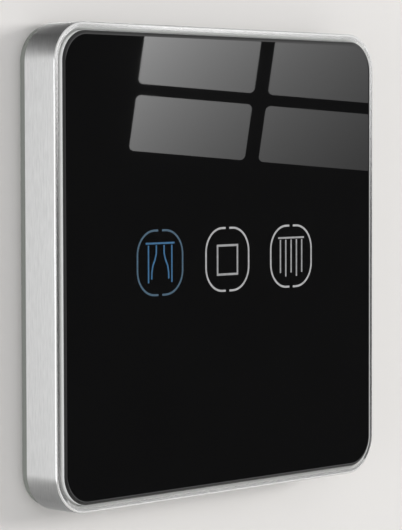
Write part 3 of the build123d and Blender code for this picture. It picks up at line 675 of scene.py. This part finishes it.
def brushed_metal(name, tone, roughness, brushing, depth, unevenness):
    """Metal brushed round its perimeter: the grain follows the piece's own unwrapping, in metres."""
    material, tree, shader = new_material(name)
    unwrap = add(tree, "ShaderNodeUVMap", {"uv_map": "brush"}).outputs["UV"]
    along = add(tree, "ShaderNodeMapping", Vector=unwrap, Scale=(0.12, 1, 1)).outputs["Vector"]
    speck = noise(tree, along, size=0.05, roughness=0.7)
    streak = noise(tree, along, size=0.35, detail=4.0, roughness=0.6)
    cloud = noise(tree, object_place(tree), size=9, detail=2.0)
    shade = remap(tree, streak, (0.25, 0.75))
    base = tinted(tree, shade, tone, dark=1 - unevenness, light=1 + unevenness / 2)
    fine, broad = math_node(tree, "MULTIPLY", speck, 0.5), math_node(tree, "MULTIPLY", cloud, 0.25)
    lowest, highest = roughness * (1 - unevenness), roughness * (1 + unevenness)
    rough = remap(tree, math_node(tree, "ADD", fine, broad), (0.2, 0.6), (lowest, highest))
    tangent = add(tree, "ShaderNodeTangent", {"direction_type": "UV_MAP", "uv_map": "brush"})
    feed(tree, shader, Base_Color=base, Metallic=1.0, Roughness=rough, Tangent=tangent.outputs["Tangent"])
    feed(tree, shader, Anisotropic=brushing, Anisotropic_Rotation=0.25)
    bump(tree, shader, math_node(tree, "ADD", speck, streak), depth)
    return material


def polished_glass(name, tone, roughness):
    """Black glass: deep, glossy, with the faintest smear."""
    material, tree, shader = new_material(name)
    smear = noise(tree, object_place(tree), size=14, detail=2.0)
    rough = remap(tree, smear, (0.35, 0.75), (roughness, roughness + 0.01))
    base = tinted(tree, smear, tone, dark=0.9, light=1.15)
    feed(tree, shader, Base_Color=base, Roughness=rough, IOR=1.5)
    return material


def ground_glass(name, tone):
    """Ground side of the glass: pale, satin, finely pitted."""
    material, tree, shader = new_material(name)
    grain = noise(tree, object_place(tree), size=0.08, detail=4.0, roughness=0.7)
    feed(tree, shader, Base_Color=tinted(tree, grain, tone, dark=0.85, light=1.1), Roughness=0.4)
    bump(tree, shader, grain, depth=0.004)
    return material


def lit_print(name, tone, glow):
    """Lit sign: printed colour that gives its own light, a little uneven."""
    material, tree, shader = new_material(name)
    uneven = noise(tree, object_place(tree), size=0.7, detail=2.0)
    light = tinted(tree, remap(tree, uneven, NOISE_SPAN), tone, dark=0.82, light=1.12)
    feed(tree, shader, Base_Color=(0.02, 0.02, 0.02), Roughness=0.35)
    feed(tree, shader, Emission_Color=light, Emission_Strength=glow)
    return material


def circuit_board(name, mask, track, pad):
    """Circuit board: solder mask over bundles of tracks, with small plated holes."""
    material, tree, shader = new_material(name)
    where = object_place(tree, turned=(pi / 2, 0, 0))
    way = cells(tree, where, size=11, randomness=0.9, distance="CHEBYCHEV")
    bundle = math_node(tree, "FRACT", math_node(tree, "MULTIPLY", way, 9.0))
    line = math_node(tree, "LESS_THAN", bundle, 0.3)
    hole = math_node(tree, "LESS_THAN", cells(tree, where, size=2.6, randomness=0.8), 0.11)
    cloud = noise(tree, object_place(tree), size=5, detail=2.0)
    ground = tinted(tree, cloud, mask, dark=0.85, light=1.15)
    plated = blend_colours(tree, hole, blend_colours(tree, line, ground, track), pad)
    feed(tree, shader, Base_Color=plated, Metallic=hole, Roughness=0.32)
    bump(tree, shader, math_node(tree, "ADD", line, hole), depth=0.02, strength=0.5)
    return material


def sleeved_can(name, sleeve, stripe, centre, radius):
    """Shrink sleeve of a capacitor with a pale stripe down one side."""
    material, tree, shader = new_material(name)
    across = math_node(tree, "SUBTRACT", split_place(tree)["X"], centre)
    striped = math_node(tree, "GREATER_THAN", across, 0.86 * radius)
    wave = noise(tree, object_place(tree), size=3, detail=2.0)
    base = tinted(tree, wave, sleeve, dark=0.9, light=1.1)
    feed(tree, shader, Base_Color=blend_colours(tree, striped, base, stripe), Roughness=0.28)
    return material


def wound_tape(name, tone):
    """Polyester tape round a winding: glossy, with the edges of its layers."""
    material, tree, shader = new_material(name)
    bands = {"wave_type": "BANDS", "bands_direction": "Z"}
    layer = add(
        tree, "ShaderNodeTexWave", bands, Vector=object_place(tree), Scale=1 / (7 * MM), Distortion=0.15
    )
    edge = remap(tree, layer.outputs["Fac"], (0.0, 0.2))
    feed(tree, shader, Base_Color=tinted(tree, edge, tone, dark=0.7, light=1.0), Roughness=0.22)
    bump(tree, shader, edge, depth=0.03)
    return material


def stage_paint(name, tone):
    """Matt paint that lets rays from behind through, so that the hidden side can be seen."""
    material, tree, choice = new_material(name, "ShaderNodeMixShader")
    paint = add(tree, "ShaderNodeBsdfDiffuse", Color=tone)
    clear = tree.nodes.new("ShaderNodeBsdfTransparent")
    side = tree.nodes.new("ShaderNodeNewGeometry")
    sources = side.outputs["Backfacing"], paint.outputs[0], clear.outputs[0]
    for socket, source in zip(choice.inputs, sources):
        tree.links.new(source, socket)
    return material


def card_glow(name, shade):
    """Even tone of a card that only reflections show."""
    material, tree, glow = new_material(name, "ShaderNodeEmission")
    feed(tree, glow, Color=(shade, shade, shade))
    return material


def stage_glow(name, strength, reach):
    """Light of the window, which fades along a diagonal."""
    material, tree, glow = new_material(name, "ShaderNodeEmission")
    where = split_place(tree)
    across = math_node(tree, "ADD", where["X"], where["Y"])
    fall = math_node(tree, "EXPONENT", math_node(tree, "DIVIDE", across, reach))
    feed(tree, glow, Color=(1, 1, 1), Strength=math_node(tree, "MULTIPLY", fall, strength))
    return material


# Pieces

def unwrap_brush(piece, side, corner):
    """Unwrap a ring along its perimeter, in metres, so that the brushing runs round it."""
    mesh = piece.data
    half = side / 2 - corner
    straight = 2 * half
    quarter = corner * pi / 2
    around = 4 * (straight + quarter)

    def station(x, z):
        """Way along the perimeter from the lower end of the left side."""
        for step, (out, up) in enumerate(((-x, z), (z, x), (x, -z), (-z, -x))):
            start = step * (straight + quarter)
            if out >= half and abs(up) <= half:
                return start + up + half
            if out > half and up > half:
                return start + straight + corner * atan2(up - half, out - half)

    layer = mesh.uv_layers.new(name="brush")
    for face in mesh.polygons:
        points = [mesh.vertices[mesh.loops[i].vertex_index].co for i in face.loop_indices]
        stations = [station(point.x, point.z) for point in points]
        wraps = max(stations) - min(stations) > around / 2
        for i, point, way in zip(face.loop_indices, points, stations):
            inset = side / 2 - max(abs(point.x), abs(point.z))
            if wraps and way < around / 2:
                way += around
            layer.data[i].uv = (way, -point.y + inset)


class SWITCH_OT_trim_frame(bpy.types.Operator):
    """Model the brushed metal frame with its polished lip"""

    bl_idname = "curtain_switch.trim_frame"
    bl_label = "Trim frame"

    def execute(self, context):
        s = context.scene.switch_frame
        low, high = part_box("trim_frame")
        side, front, rear = high.x - low.x, -low.y, -high.y
        bead = [(s.bead * (1 - sin(a)), front - s.bead * (1 - cos(a))) for a in reversed(quarter_turn(4))]
        lip_edge = s.wall - s.lip_chamfer
        slope = s.lip_drop / (s.wall - s.lip_flat)
        lip_end = front - slope * (lip_edge - s.lip_flat)
        pocket = front - s.lip_drop - s.lip_chamfer
        ledge = s.wall + s.ledge
        profile = [
            (s.rear_break, rear), (0, rear + s.rear_break), *bead, (s.lip_flat, front),
            (lip_edge - s.bead / 4, lip_end + s.bead / 8), (lip_edge + s.bead / 4, lip_end - s.bead / 4),
            (s.wall, pocket), (s.wall, s.ledge_front), (ledge - s.rear_break, s.ledge_front),
            (ledge, s.ledge_front - s.rear_break), (ledge, s.ledge_rear), (s.wall, s.ledge_rear),
            (s.wall, rear + s.rear_break), (s.wall - s.rear_break, rear),
        ]
        piece = settle(sweep_round_square(profile, side, s.corner, s.corner_steps), "trim_frame_brushed")
        finish_faces(piece, smooth=32)
        unwrap_brush(piece, side, s.corner)
        brushed = brushed_metal(
            "brushed_side", s.metal, s.roughness, s.brushing, depth=0.0012, unevenness=0.12
        )
        polished = brushed_metal(
            "polished_lip", s.metal, s.lip_roughness, s.lip_brushing, depth=0.0, unevenness=0.02
        )
        dress(piece, brushed, polished)
        for face in piece.data.polygons:
            inset = side / 2 - max(abs(face.center.x), abs(face.center.z))
            if -face.center.y > pocket and (abs(face.normal.y) > s.lip_reach or inset > s.wall / 2):
                face.material_index = 1
        place(piece, "front_panel", "frame_metal", "trim_frame")
        return {"FINISHED"}


class SWITCH_OT_glass_panel(bpy.types.Operator):
    """Model the glass with its rounded front edge and ground side"""

    bl_idname = "curtain_switch.glass_panel"
    bl_label = "Glass panel"

    def execute(self, context):
        s = context.scene.switch_glass
        low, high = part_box("glass_panel")
        half, rear, front = (high.x - low.x) / 2, -high.y, -low.y - s.print_depth
        edge = [
            (half - s.edge_width * (1 - cos(a)), front - s.edge_depth * (1 - sin(a)))
            for a in quarter_turn(s.edge_steps)
        ]
        slab = round_square_slab([(half, rear), *edge], s.corner, s.corner_steps)
        with editing(slab, whole=False):
            bpy.ops.mesh.inset(thickness=s.face_border)
        piece = finish_faces(settle(slab, "glass_panel_polished"), smooth=40)
        black = polished_glass("black_glass", s.black, s.roughness)
        dress(piece, black, ground_glass("ground_edge", s.ground))
        for face in piece.data.polygons:
            if face.area > half * half:
                face.use_smooth = False
            if abs(face.normal.y) < s.ground_reach:
                face.material_index = 1
        place(piece, "front_panel", "panel_glass", "glass_panel")
        return {"FINISHED"}


def ring_strokes(s):
    """The two halves of a sign's ring, open at the top and the bottom."""
    half, corner, gap = s.ring / 2, s.ring_corner, s.ring_gap / 2
    points = [(gap, half)]
    for centre_y, start in ((half - corner, pi / 2), (corner - half, 0.0)):
        for a in quarter_turn(s.ring_steps):
            points.append((half - corner + corner * cos(start - a), centre_y + corner * sin(start - a)))
    points.append((gap, -half))
    return [(points, False), ([(-x, y) for x, y in points], False)]


def curtain_strokes(s, lines):
    """Lines of a curtain under its rod."""
    rod = [(-s.rod / 2, s.rod_height), (s.rod / 2, s.rod_height)]
    return [(points, False) for points in (rod, *lines)]


def open_strokes(s):
    """Curtain drawn to both sides."""
    top = s.rod_height - s.thin_stroke
    lines = []
    for side in (-1, 1):
        edge = side * s.curtain_edge
        lines.append([(edge, top), (edge, s.rod_height - s.curtain_drop)])
        lines.append([(side * x * MM, top + y * MM) for x, y in DRAPE])
    return curtain_strokes(s, lines)


def stop_strokes(s):
    """Stop square."""
    x, low, high = s.stop_width / 2, -s.stop_height / 2 - s.stop_fall, s.stop_height / 2 - s.stop_fall
    return [([(-x, low), (x, low), (x, high), (-x, high)], True)]


def close_strokes(s):
    """Curtain drawn shut: five pleats, every second one longer."""
    top = s.rod_height - s.thin_stroke
    lines = []
    for pleat in range(-2, 3):
        x = pleat * s.pleat_pitch
        lines.append([(x, top), (x, top - (s.long_pleat if pleat % 2 else s.short_pleat))])
    return curtain_strokes(s, lines)


class SWITCH_OT_signs(bpy.types.Operator):
    """Model the three lit signs on the glass"""

    bl_idname = "curtain_switch.signs"
    bl_label = "Signs"

    def execute(self, context):
        s = context.scene.switch_signs
        depth = context.scene.switch_glass.print_depth
        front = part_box("glass_panel")[0].y
        blue, blue_ring, white, pale = (
            lit_print(f"sign_{name}", getattr(s, name), s.glow)
            for name in ("blue", "blue_ring", "white", "pale")
        )
        signs = (
            ("open", open_strokes, s.thin_stroke, blue, blue_ring),
            ("stop", stop_strokes, s.bold_stroke, pale, white),
            ("close", close_strokes, s.thin_stroke, pale, white),
        )
        for step, (name, strokes, width, inner, outer) in enumerate(signs):
            centre = ((step - 1) * s.pitch, front + depth / 2, s.lift)
            sign = dress(stroke_mesh(strokes(s), width, depth, centre), inner)
            ring = dress(stroke_mesh(ring_strokes(s), s.stroke, depth, centre), outer)
            piece = finish_faces(join([sign, ring], f"sign_{name}"), smooth=30)
            place(piece, "front_panel", "light_film")
        return {"FINISHED"}


class SWITCH_OT_touch_springs(bpy.types.Operator):
    """Wind the three touch springs from round wire"""

    bl_idname = "curtain_switch.touch_springs"
    bl_label = "Touch springs"

    def execute(self, context):
        s = context.scene.switch_springs
        steel = plain_metal("spring_wire", (0.74, 0.73, 0.70), 0.22, grain_size=0.08)
        for name in ("open", "stop", "close"):
            low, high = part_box(f"touch_spring_{name}")
            centre, top = (low.x + high.x) / 2, low.y + s.wire / 2
            foot = Vector((centre + s.radius, high.y, -s.foot_back))
            points = [foot, foot + Vector((0, -s.wire, 0))]
            for step in range(s.steps * (s.turns + 1) + 1):
                turned = step / s.steps
                angle = 2 * pi * turned
                radius = s.radius - (s.radius - s.top_radius) * max(turned - s.turns, 0.0)
                level = -s.rise + (top + s.rise) * min(turned / s.turns, 1.0)
                points.append((centre + radius * cos(angle), level, radius * sin(angle)))
            piece = settle(wire_mesh(points, s.wire / 2, 12), f"touch_spring_{name}_wire")
            dress(finish_faces(piece, smooth=60), steel)
            place(piece, "base", "spring_steel", f"touch_spring_{name}")
        return {"FINISHED"}


class SWITCH_OT_housing_screws(bpy.types.Operator):
    """Model the four cross-head screws of the rear housing"""

    bl_idname = "curtain_switch.housing_screws"
    bl_label = "Housing screws"

    def execute(self, context):
        s = context.scene.switch_screws
        low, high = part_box("housing_screws")
        neck, foot = low.y + s.head - s.core, high.y - s.thread
        profile = [
            (0, low.y), (s.head - s.edge, low.y), (s.head, low.y + s.edge), (s.head, low.y + s.head_edge),
            (s.core, neck), (s.core, foot), (s.core / 4, high.y), (0, high.y),
        ]
        parts = []
        for x in (low.x + s.head, high.x - s.head):
            for z in (low.z + s.head, high.z - s.head):
                centre = Vector((x, 0, z))
                screw = lathe(profile, centre, s.steps)
                for across, up in ((s.cross_length, s.cross_width), (s.cross_width, s.cross_length)):
                    cut(screw, block((x, low.y, z), (across, 2 * s.cross_depth, up)))
                parts.append(screw)
                parts.append(thread(centre, s.core, neck, foot, s.thread, s.thread_wire, s.thread_steps))
        piece = finish_faces(join(parts, "housing_screws_turned"), smooth=35, outward=False)
        dress(piece, plain_metal("housing_screw_zinc", (0.68, 0.68, 0.70), 0.26))
        place(piece, "base", "screw_steel", "housing_screws")
        return {"FINISHED"}


class SWITCH_OT_terminal_screws(bpy.types.Operator):
    """Model the four slotted clamp screws with their threads"""

    bl_idname = "curtain_switch.terminal_screws"
    bl_label = "Terminal screws"

    def execute(self, context):
        s = context.scene.switch_screws
        steel = plain_metal("clamp_screw_zinc", (0.70, 0.69, 0.66), 0.25)
        for pole in range(1, 5):
            low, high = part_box(f"terminal_screw_{pole}")
            centre, head, core = (low + high) / 2, (high.x - low.x) / 2, s.clamp_core
            under = high.y - s.clamp_head
            profile = [
                (0, low.y), (core - s.edge, low.y), (core, low.y + s.edge), (core, under),
                (head - s.edge, under), (head, under + s.edge),
                (head, high.y - s.edge), (head - s.edge, high.y), (0, high.y),
            ]
            screw = lathe(profile, centre, s.steps)
            cut(screw, block((centre.x, high.y, centre.z), (3 * head, 2 * s.slot_depth, s.slot_width)))
            first, last = low.y + s.clamp_thread, under - s.clamp_thread
            ridge = thread(centre, core, first, last, s.clamp_thread, s.clamp_thread_wire, s.thread_steps)
            piece = join([screw, ridge], f"terminal_screw_{pole}_threaded")
            dress(finish_faces(piece, smooth=35, outward=False), steel)
            place(piece, f"clamp_screw_{pole}", "screw_steel", f"terminal_screw_{pole}")
        return {"FINISHED"}


class SWITCH_OT_capacitors(bpy.types.Operator):
    """Model the two capacitor cans with their sleeves and scored tops"""

    bl_idname = "curtain_switch.capacitors"
    bl_label = "Capacitors"

    def execute(self, context):
        s = context.scene.switch_boards
        bare = plain_metal("can_top", (0.80, 0.80, 0.80), 0.3)
        for node, tone, stripe in (
            ("bulk_capacitor", (0.012, 0.016, 0.03), (0.42, 0.44, 0.46)),
            ("output_capacitor", (0.02, 0.012, 0.06), (0.45, 0.38, 0.12)),
        ):
            low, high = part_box(node)
            centre, radius = (low + high) / 2, (high.x - low.x) / 2
            roll, lip, top = low.y + s.roll_height, radius - s.sleeve_lip, high.y - s.top_drop
            profile = [
                (0, low.y), (radius - s.can_round, low.y), (radius, low.y + s.can_round),
                (radius, roll - s.roll_depth), (radius - s.roll_depth, roll), (radius, roll + s.roll_depth),
                (radius, high.y - s.can_round), (radius - s.can_round / 3, high.y - s.can_round / 3),
                (radius - s.can_round, high.y), (lip, high.y), (lip, top), (0, top),
            ]
            can = lathe(profile, centre, s.can_steps)
            for turned in (0.0, pi / 3, -pi / 3):
                size = (2 * lip * s.vent_length, 2 * s.vent_depth, s.vent_width)
                cut(can, block((centre.x, top, centre.z), size, turned))
            piece = finish_faces(settle(can, f"{node}_sleeved"), smooth=40)
            dress(piece, sleeved_can(f"{node}_sleeve", tone, stripe, centre.x, radius), bare)
            for face in piece.data.polygons:
                away = Vector((face.center.x - centre.x, face.center.z - centre.z)).length
                if away < lip - s.vent_width / 4 and face.center.y > centre.y:
                    face.material_index = 1
            place(piece, "base", "capacitor_sleeve", node)
        return {"FINISHED"}


class SWITCH_OT_small_parts(bpy.types.Operator):
    """Model the touch board's small soldered parts, the chip's dot and the antenna"""

    bl_idname = "curtain_switch.small_parts"
    bl_label = "Small parts"

    def execute(self, context):
        s = context.scene.switch_boards
        self.solder_parts(s)
        self.mark_chip(s)
        self.print_antenna(s)
        return {"FINISHED"}

    def solder_parts(self, s):
        """Row of small soldered parts on the touch board."""
        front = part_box("touch_board")[0].y
        bodies = (
            moulded_plastic("chip_resistor", (0.018, 0.018, 0.02), 0.4, 0.05),
            moulded_plastic("chip_capacitor", (0.32, 0.19, 0.09), 0.45, 0.05),
        )
        solder = plain_metal("solder", (0.74, 0.74, 0.73), 0.24)
        parts = []
        for step in range(s.part_count):
            x = (step - (s.part_count - 1) / 2) * s.part_pitch
            middle = Vector((x, front - s.part_height / 2, -s.part_row))
            size = (s.part_length - 2 * s.part_end, s.part_height * s.part_body, s.part_width)
            parts.append(dress(block(middle, size), bodies[step % 2]))
            for side in (-1, 1):
                end = middle + Vector((side * (s.part_length - s.part_end) / 2, 0, 0))
                cap = block(end, (s.part_end, s.part_height, s.part_width))
                parts.append(dress(bevel_edges(cap, s.part_edge), solder))
        place(join(parts, "touch_board_parts"), "base", "chip")

    def mark_chip(self, s):
        """Pin-one dot on the touch chip."""
        low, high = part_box("touch_chip")
        centre = Vector((low.x + s.dot_inset, 0, (low.z + high.z) / 2 - s.dot_inset))
        flat = low.y - s.film
        dot = lathe([(0, flat), (s.dot, flat), (s.dot, low.y), (0, low.y)], centre, s.dot_steps)
        finish_faces(settle(dot, "touch_chip_dot"), smooth=40)
        dress(dot, moulded_plastic("chip_print", (0.55, 0.55, 0.53), 0.5, 0.05))
        place(dot, "base", "chip")

    def print_antenna(self, s):
        """Folded copper line of the radio board's antenna."""
        low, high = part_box("radio_board")
        foot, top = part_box("radio_can")[1].z + s.antenna_edge, high.z - s.antenna_edge
        reach = high.x - low.x - 2 * s.antenna_edge
        points = []
        for fold in range(s.antenna_folds + 1):
            x = low.x + s.antenna_edge + reach * fold / s.antenna_folds
            points += [(x, foot), (x, top)] if fold % 2 else [(x, top), (x, foot)]
        line = stroke_mesh([(points, False)], s.antenna_width, s.film, (0, high.y + s.film / 2, 0))
        finish_faces(settle(line, "radio_antenna"), smooth=30)
        dress(line, plain_metal("antenna_gold", (0.83, 0.62, 0.28), 0.3))
        place(line, "base", "contact_brass")


class SWITCH_OT_moulded_parts(bpy.types.Operator):
    """Round the edges of the moulded, wound and pressed parts"""

    bl_idname = "curtain_switch.moulded_parts"
    bl_label = "Moulded parts"

    def execute(self, context):
        s = context.scene.switch_plastic
        slots = {entry["node"]: entry["material_slot"] for entry in frame["record"]["subparts"]}
        bodies = frame["record"]["behaviour"]["bodies"]
        for node in ROUNDED:
            piece = link_new(f"{node}_moulded", nodes[node].data.copy())
            piece.data.name = piece.name
            with editing(piece):
                bpy.ops.mesh.remove_doubles(threshold=MERGE)
                bpy.ops.mesh.dissolve_limited(angle_limit=radians(0.5))
            bevel_edges(piece, s.soft_edge)
            dress(piece, nodes[node].material_slots[0].material)
            body = next(name for name, members in bodies.items() if node in members)
            place(piece, body, slots[node], node)
        return {"FINISHED"}


class SWITCH_OT_finishes(bpy.types.Operator):
    """Give their finishes to the parts that no other operator models anew"""

    bl_idname = "curtain_switch.finishes"
    bl_label = "Finishes"

    def execute(self, context):
        s = context.scene.switch_plastic
        # Name, tone, roughness, grain size and grain depth in millimetres
        plastics = {
            "tape": ("bonding_tape", (0.02, 0.02, 0.02), 0.7),
            "light_film": ("light_film", (0.8, 0.81, 0.82), 0.5),
            "carrier_plastic": ("carrier_moulding", s.carrier, 0.5),
            "flange_plastic": ("flange_moulding", s.flange, 0.52),
            "housing_plastic": ("housing_moulding", s.housing, 0.48),
            "shield_plastic": ("shield_moulding", s.shield, 0.4),
            "lamp": ("lamp_lens", (0.85, 0.78, 0.35), 0.15, 0.4, 0.0005),
            "chip": ("chip_epoxy", (0.014, 0.014, 0.016), 0.55, 0.06),
            "link_plastic": ("link_moulding", (0.012, 0.012, 0.012), 0.4),
            "relay_plastic": ("relay_moulding", s.relay, 0.28, 0.3, 0.001),
            "ferrite": ("ferrite", (0.03, 0.03, 0.033), 0.42, 0.2),
            "line_capacitor": ("line_capacitor_case", (0.70, 0.42, 0.03), 0.35),
            "fuse_body": ("fuse_case", (0.06, 0.014, 0.008), 0.4),
            "varistor_coat": ("varistor_coat", (0.02, 0.11, 0.33), 0.22, 0.5, 0.003),
            "terminal_plastic": ("terminal_moulding", s.terminal, 0.38),
        }
        # Name, tone, roughness and stretch of the scratches
        metals = {
            "spring_steel": ("clip_steel", (0.70, 0.69, 0.67), 0.24),
            "can_steel": ("tinned_can", (0.72, 0.72, 0.70), 0.3),
            "contact_brass": ("contact_brass", (0.80, 0.60, 0.26), 0.26, (1, 6, 1)),
            "cage_steel": ("cage_zinc", (0.68, 0.67, 0.62), 0.3, (1, 1, 5)),
        }
        # Name and the tones of mask, tracks and pads
        boards = {
            "board": ("green_board", (0.01, 0.075, 0.03), (0.02, 0.13, 0.05), (0.75, 0.6, 0.3)),
            "board_dark": ("dark_board", (0.008, 0.009, 0.012), (0.02, 0.022, 0.028), (0.8, 0.68, 0.4)),
        }
        finishes = {"winding_tape": wound_tape("winding_tape", (0.75, 0.52, 0.03))}
        for make, recipes in ((moulded_plastic, plastics), (plain_metal, metals), (circuit_board, boards)):
            finishes |= {slot: make(*recipe) for slot, recipe in recipes.items()}
        for entry in frame["record"]["subparts"]:
            if entry["material_slot"] in finishes:
                dress(nodes[entry["node"]], finishes[entry["material_slot"]])
        return {"FINISHED"}


def aim(thing, target, roll=0.0):
    """Point a camera or a lamp at a place."""
    direction = (Vector(target) - thing.location).normalized()
    turned = direction.to_track_quat("-Z", "Y").to_matrix().to_4x4()
    thing.matrix_world = Matrix.Translation(thing.location) @ turned @ Matrix.Rotation(roll, 4, "Z")


def add_lamp(name, place_at, size, power, tone):
    """Soft lamp that shines on the switch and that the camera doesn't see."""
    lamp = link_new(name, bpy.data.lights.new(name, "AREA"))
    lamp.data.shape = "RECTANGLE"
    lamp.data.size, lamp.data.size_y = size
    lamp.data.energy = power
    lamp.data.color = tone
    lamp.location = place_at
    aim(lamp, (0, 0, 0))
    lamp.visible_camera = False
    return lamp


def add_screen(name, size, location, rotation=(0, 0, 0)):
    """Flat stage surface."""
    screen = settle(rectangle(size, location, rotation), name)
    return screen


def glossy_only(card):
    """Let only reflections show a card."""
    card.visible_camera = False
    card.visible_diffuse = False
    card.visible_shadow = False


class SWITCH_OT_stage(bpy.types.Operator):
    """Set up the wall, the floor, the lights and the camera"""

    bl_idname = "curtain_switch.stage"
    bl_label = "Stage"

    def execute(self, context):
        s = context.scene.switch_stage
        self.add_wall(s)
        self.add_shades(s)
        floor = add_screen("floor", (s.wall_side, s.wall_side), (0, 0, -s.floor_drop))
        dress(floor, stage_paint("floor_paint", s.floor))
        key = add_lamp("key", s.key_at, s.key_size, s.key_power, s.warm)
        key.visible_glossy = False
        add_lamp("fill", s.fill_at, s.fill_size, s.fill_power, s.cool)
        add_lamp("rear_key", s.rear_at, s.rear_size, s.key_power, s.warm)
        world = bpy.data.worlds.new("room")
        world.use_nodes = True
        world.node_tree.nodes["Background"].inputs["Color"].default_value = (*s.room, 1)
        context.scene.world = world
        context.scene.camera = self.add_camera(s)
        context.scene.view_settings.view_transform = "Standard"
        self.add_window(s, context.scene.camera.location)
        return {"FINISHED"}

    def add_wall(self, s):
        """Wall with a hole behind the flange, through which the base reaches."""
        wall = add_screen("wall", (s.wall_side, s.wall_side), (0, s.wall_gap, 0), (pi / 2, 0, 0))
        with editing(wall):
            bpy.ops.mesh.inset(thickness=(s.wall_side - s.wall_hole) / 2)
            bpy.ops.mesh.bevel(offset=s.wall_hole_corner, affect="VERTICES", segments=8)
            bpy.ops.mesh.select_all(action="DESELECT")
        for part in wall.data.polygons:
            part.select = Vector((part.center.x, part.center.z)).length < MM
        with editing(wall, whole=False):
            bpy.ops.mesh.delete(type="FACE")
        dress(wall, stage_paint("wall_paint", s.wall))
        wall.visible_glossy = False

    def add_shades(self, s):
        """Dark cards above and below the switch, which the frame and the glass mirror."""
        for side in ("above", "below"):
            card = add_screen(f"shade_{side}", s.shade_size, getattr(s, f"shade_{side}"))
            glossy_only(dress(card, card_glow(f"shade_{side}_tone", getattr(s, f"tone_{side}"))))

    def add_camera(self, s):
        """Camera at the photograph's place."""
        camera = link_new("camera", bpy.data.cameras.new("camera"))
        camera.data.lens = s.lens
        camera.data.sensor_width = s.sensor
        camera.data.clip_start = 10 * MM
        target = Vector((s.aim_at[0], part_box("trim_frame")[0].y, s.aim_at[1]))
        level = cos(s.elevation)
        back = Vector((sin(s.azimuth) * level, -cos(s.azimuth) * level, sin(s.elevation)))
        camera.location = target + back * s.distance
        aim(camera, target, s.roll)
        return camera

    def add_window(self, s, seen_from):
        """Lit window before a dark flag, placed where the glass mirrors it in the photograph."""
        glass = Vector((s.window_at[0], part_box("glass_panel")[0].y, s.window_at[1]))
        away = (glass - seen_from).normalized() * Vector((1, -1, 1))
        right = away.cross(Vector((0, 0, 1))).normalized()
        up = right.cross(away).normalized()
        turned = Matrix((right, up, -away)).transposed().to_4x4()
        centre = glass + away * s.window_away
        cloth, tree, shader = new_material("flag_cloth")
        feed(tree, shader, Base_Color=(0.01, 0.01, 0.01), Roughness=0.9)
        flag = dress(add_screen("flag", s.flag_size, s.flag_at), cloth)
        flag.matrix_world = Matrix.Translation(centre + away * s.flag_gap) @ turned
        flag.visible_camera = False
        reflector = add_screen("lip_reflector", s.reflector_size, s.flag_at)
        reflector.matrix_world = Matrix.Translation(centre + away * 2 * s.flag_gap) @ turned
        glossy_only(dress(reflector, card_glow("lip_reflector_tone", s.reflector_glow)))
        panes = []
        for column in (-s.pane_at[0], s.pane_at[0]):
            for row in (-s.pane_at[1], s.pane_at[1]):
                pane = rectangle(s.pane_size, (column, row, 0))
                with editing(pane):
                    bpy.ops.mesh.bevel(offset=s.pane_corner, affect="VERTICES", segments=5)
                panes.append(pane)
        window = join(panes, "window_light")
        bar = Vector((-cos(s.window_fall), -sin(s.window_fall), 0))
        upright = Vector((-sin(s.window_lean), cos(s.window_lean), 0))
        skew = Matrix((bar, upright, (0, 0, 1))).transposed().to_4x4()
        skew.translation = (*s.window_shift, 0)
        window.data.transform(skew)
        window.matrix_world = Matrix.Translation(centre) @ turned
        dress(window, stage_glow("window_glow", s.window_glow, s.window_fade))
        window.visible_camera = False


class SWITCH_PT_sidebar(bpy.types.Panel):
    """Sidebar list of the switch's pieces"""

    bl_label = "Curtain switch"
    bl_idname = "SWITCH_PT_sidebar"
    bl_space_type = "VIEW_3D"
    bl_region_type = "UI"
    bl_category = "Curtain switch"

    def draw(self, context):
        for operator in OPERATORS:
            self.layout.operator(operator.bl_idname)


OPERATORS = (
    SWITCH_OT_finishes,
    SWITCH_OT_trim_frame,
    SWITCH_OT_glass_panel,
    SWITCH_OT_signs,
    SWITCH_OT_touch_springs,
    SWITCH_OT_housing_screws,
    SWITCH_OT_terminal_screws,
    SWITCH_OT_capacitors,
    SWITCH_OT_small_parts,
    SWITCH_OT_moulded_parts,
    SWITCH_OT_stage,
)
SETTINGS = {
    "switch_frame": SwitchFrameSettings,
    "switch_glass": SwitchGlassSettings,
    "switch_signs": SwitchSignSettings,
    "switch_springs": SwitchSpringSettings,
    "switch_screws": SwitchScrewSettings,
    "switch_boards": SwitchBoardSettings,
    "switch_plastic": SwitchPlasticSettings,
    "switch_stage": SwitchStageSettings,
}


def register():
    """Register the settings, the operators and the panel."""
    for name, settings in SETTINGS.items():
        bpy.utils.register_class(settings)
        setattr(bpy.types.Scene, name, PointerProperty(type=settings))
    for operator in OPERATORS:
        bpy.utils.register_class(operator)
    bpy.utils.register_class(SWITCH_PT_sidebar)


def unregister():
    """Undo register."""
    bpy.utils.unregister_class(SWITCH_PT_sidebar)
    for operator in reversed(OPERATORS):
        bpy.utils.unregister_class(operator)
    for name, settings in SETTINGS.items():
        delattr(bpy.types.Scene, name)
        bpy.utils.unregister_class(settings)


def main():
    """Build the looks in order."""
    register()
    bpy.ops.curtain_switch.finishes()
    bpy.ops.curtain_switch.trim_frame()
    bpy.ops.curtain_switch.glass_panel()
    bpy.ops.curtain_switch.signs()
    bpy.ops.curtain_switch.touch_springs()
    bpy.ops.curtain_switch.housing_screws()
    bpy.ops.curtain_switch.terminal_screws()
    bpy.ops.curtain_switch.capacitors()
    bpy.ops.curtain_switch.small_parts()
    bpy.ops.curtain_switch.moulded_parts()
    bpy.ops.curtain_switch.stage()


if __name__ == "__main__":
    main()
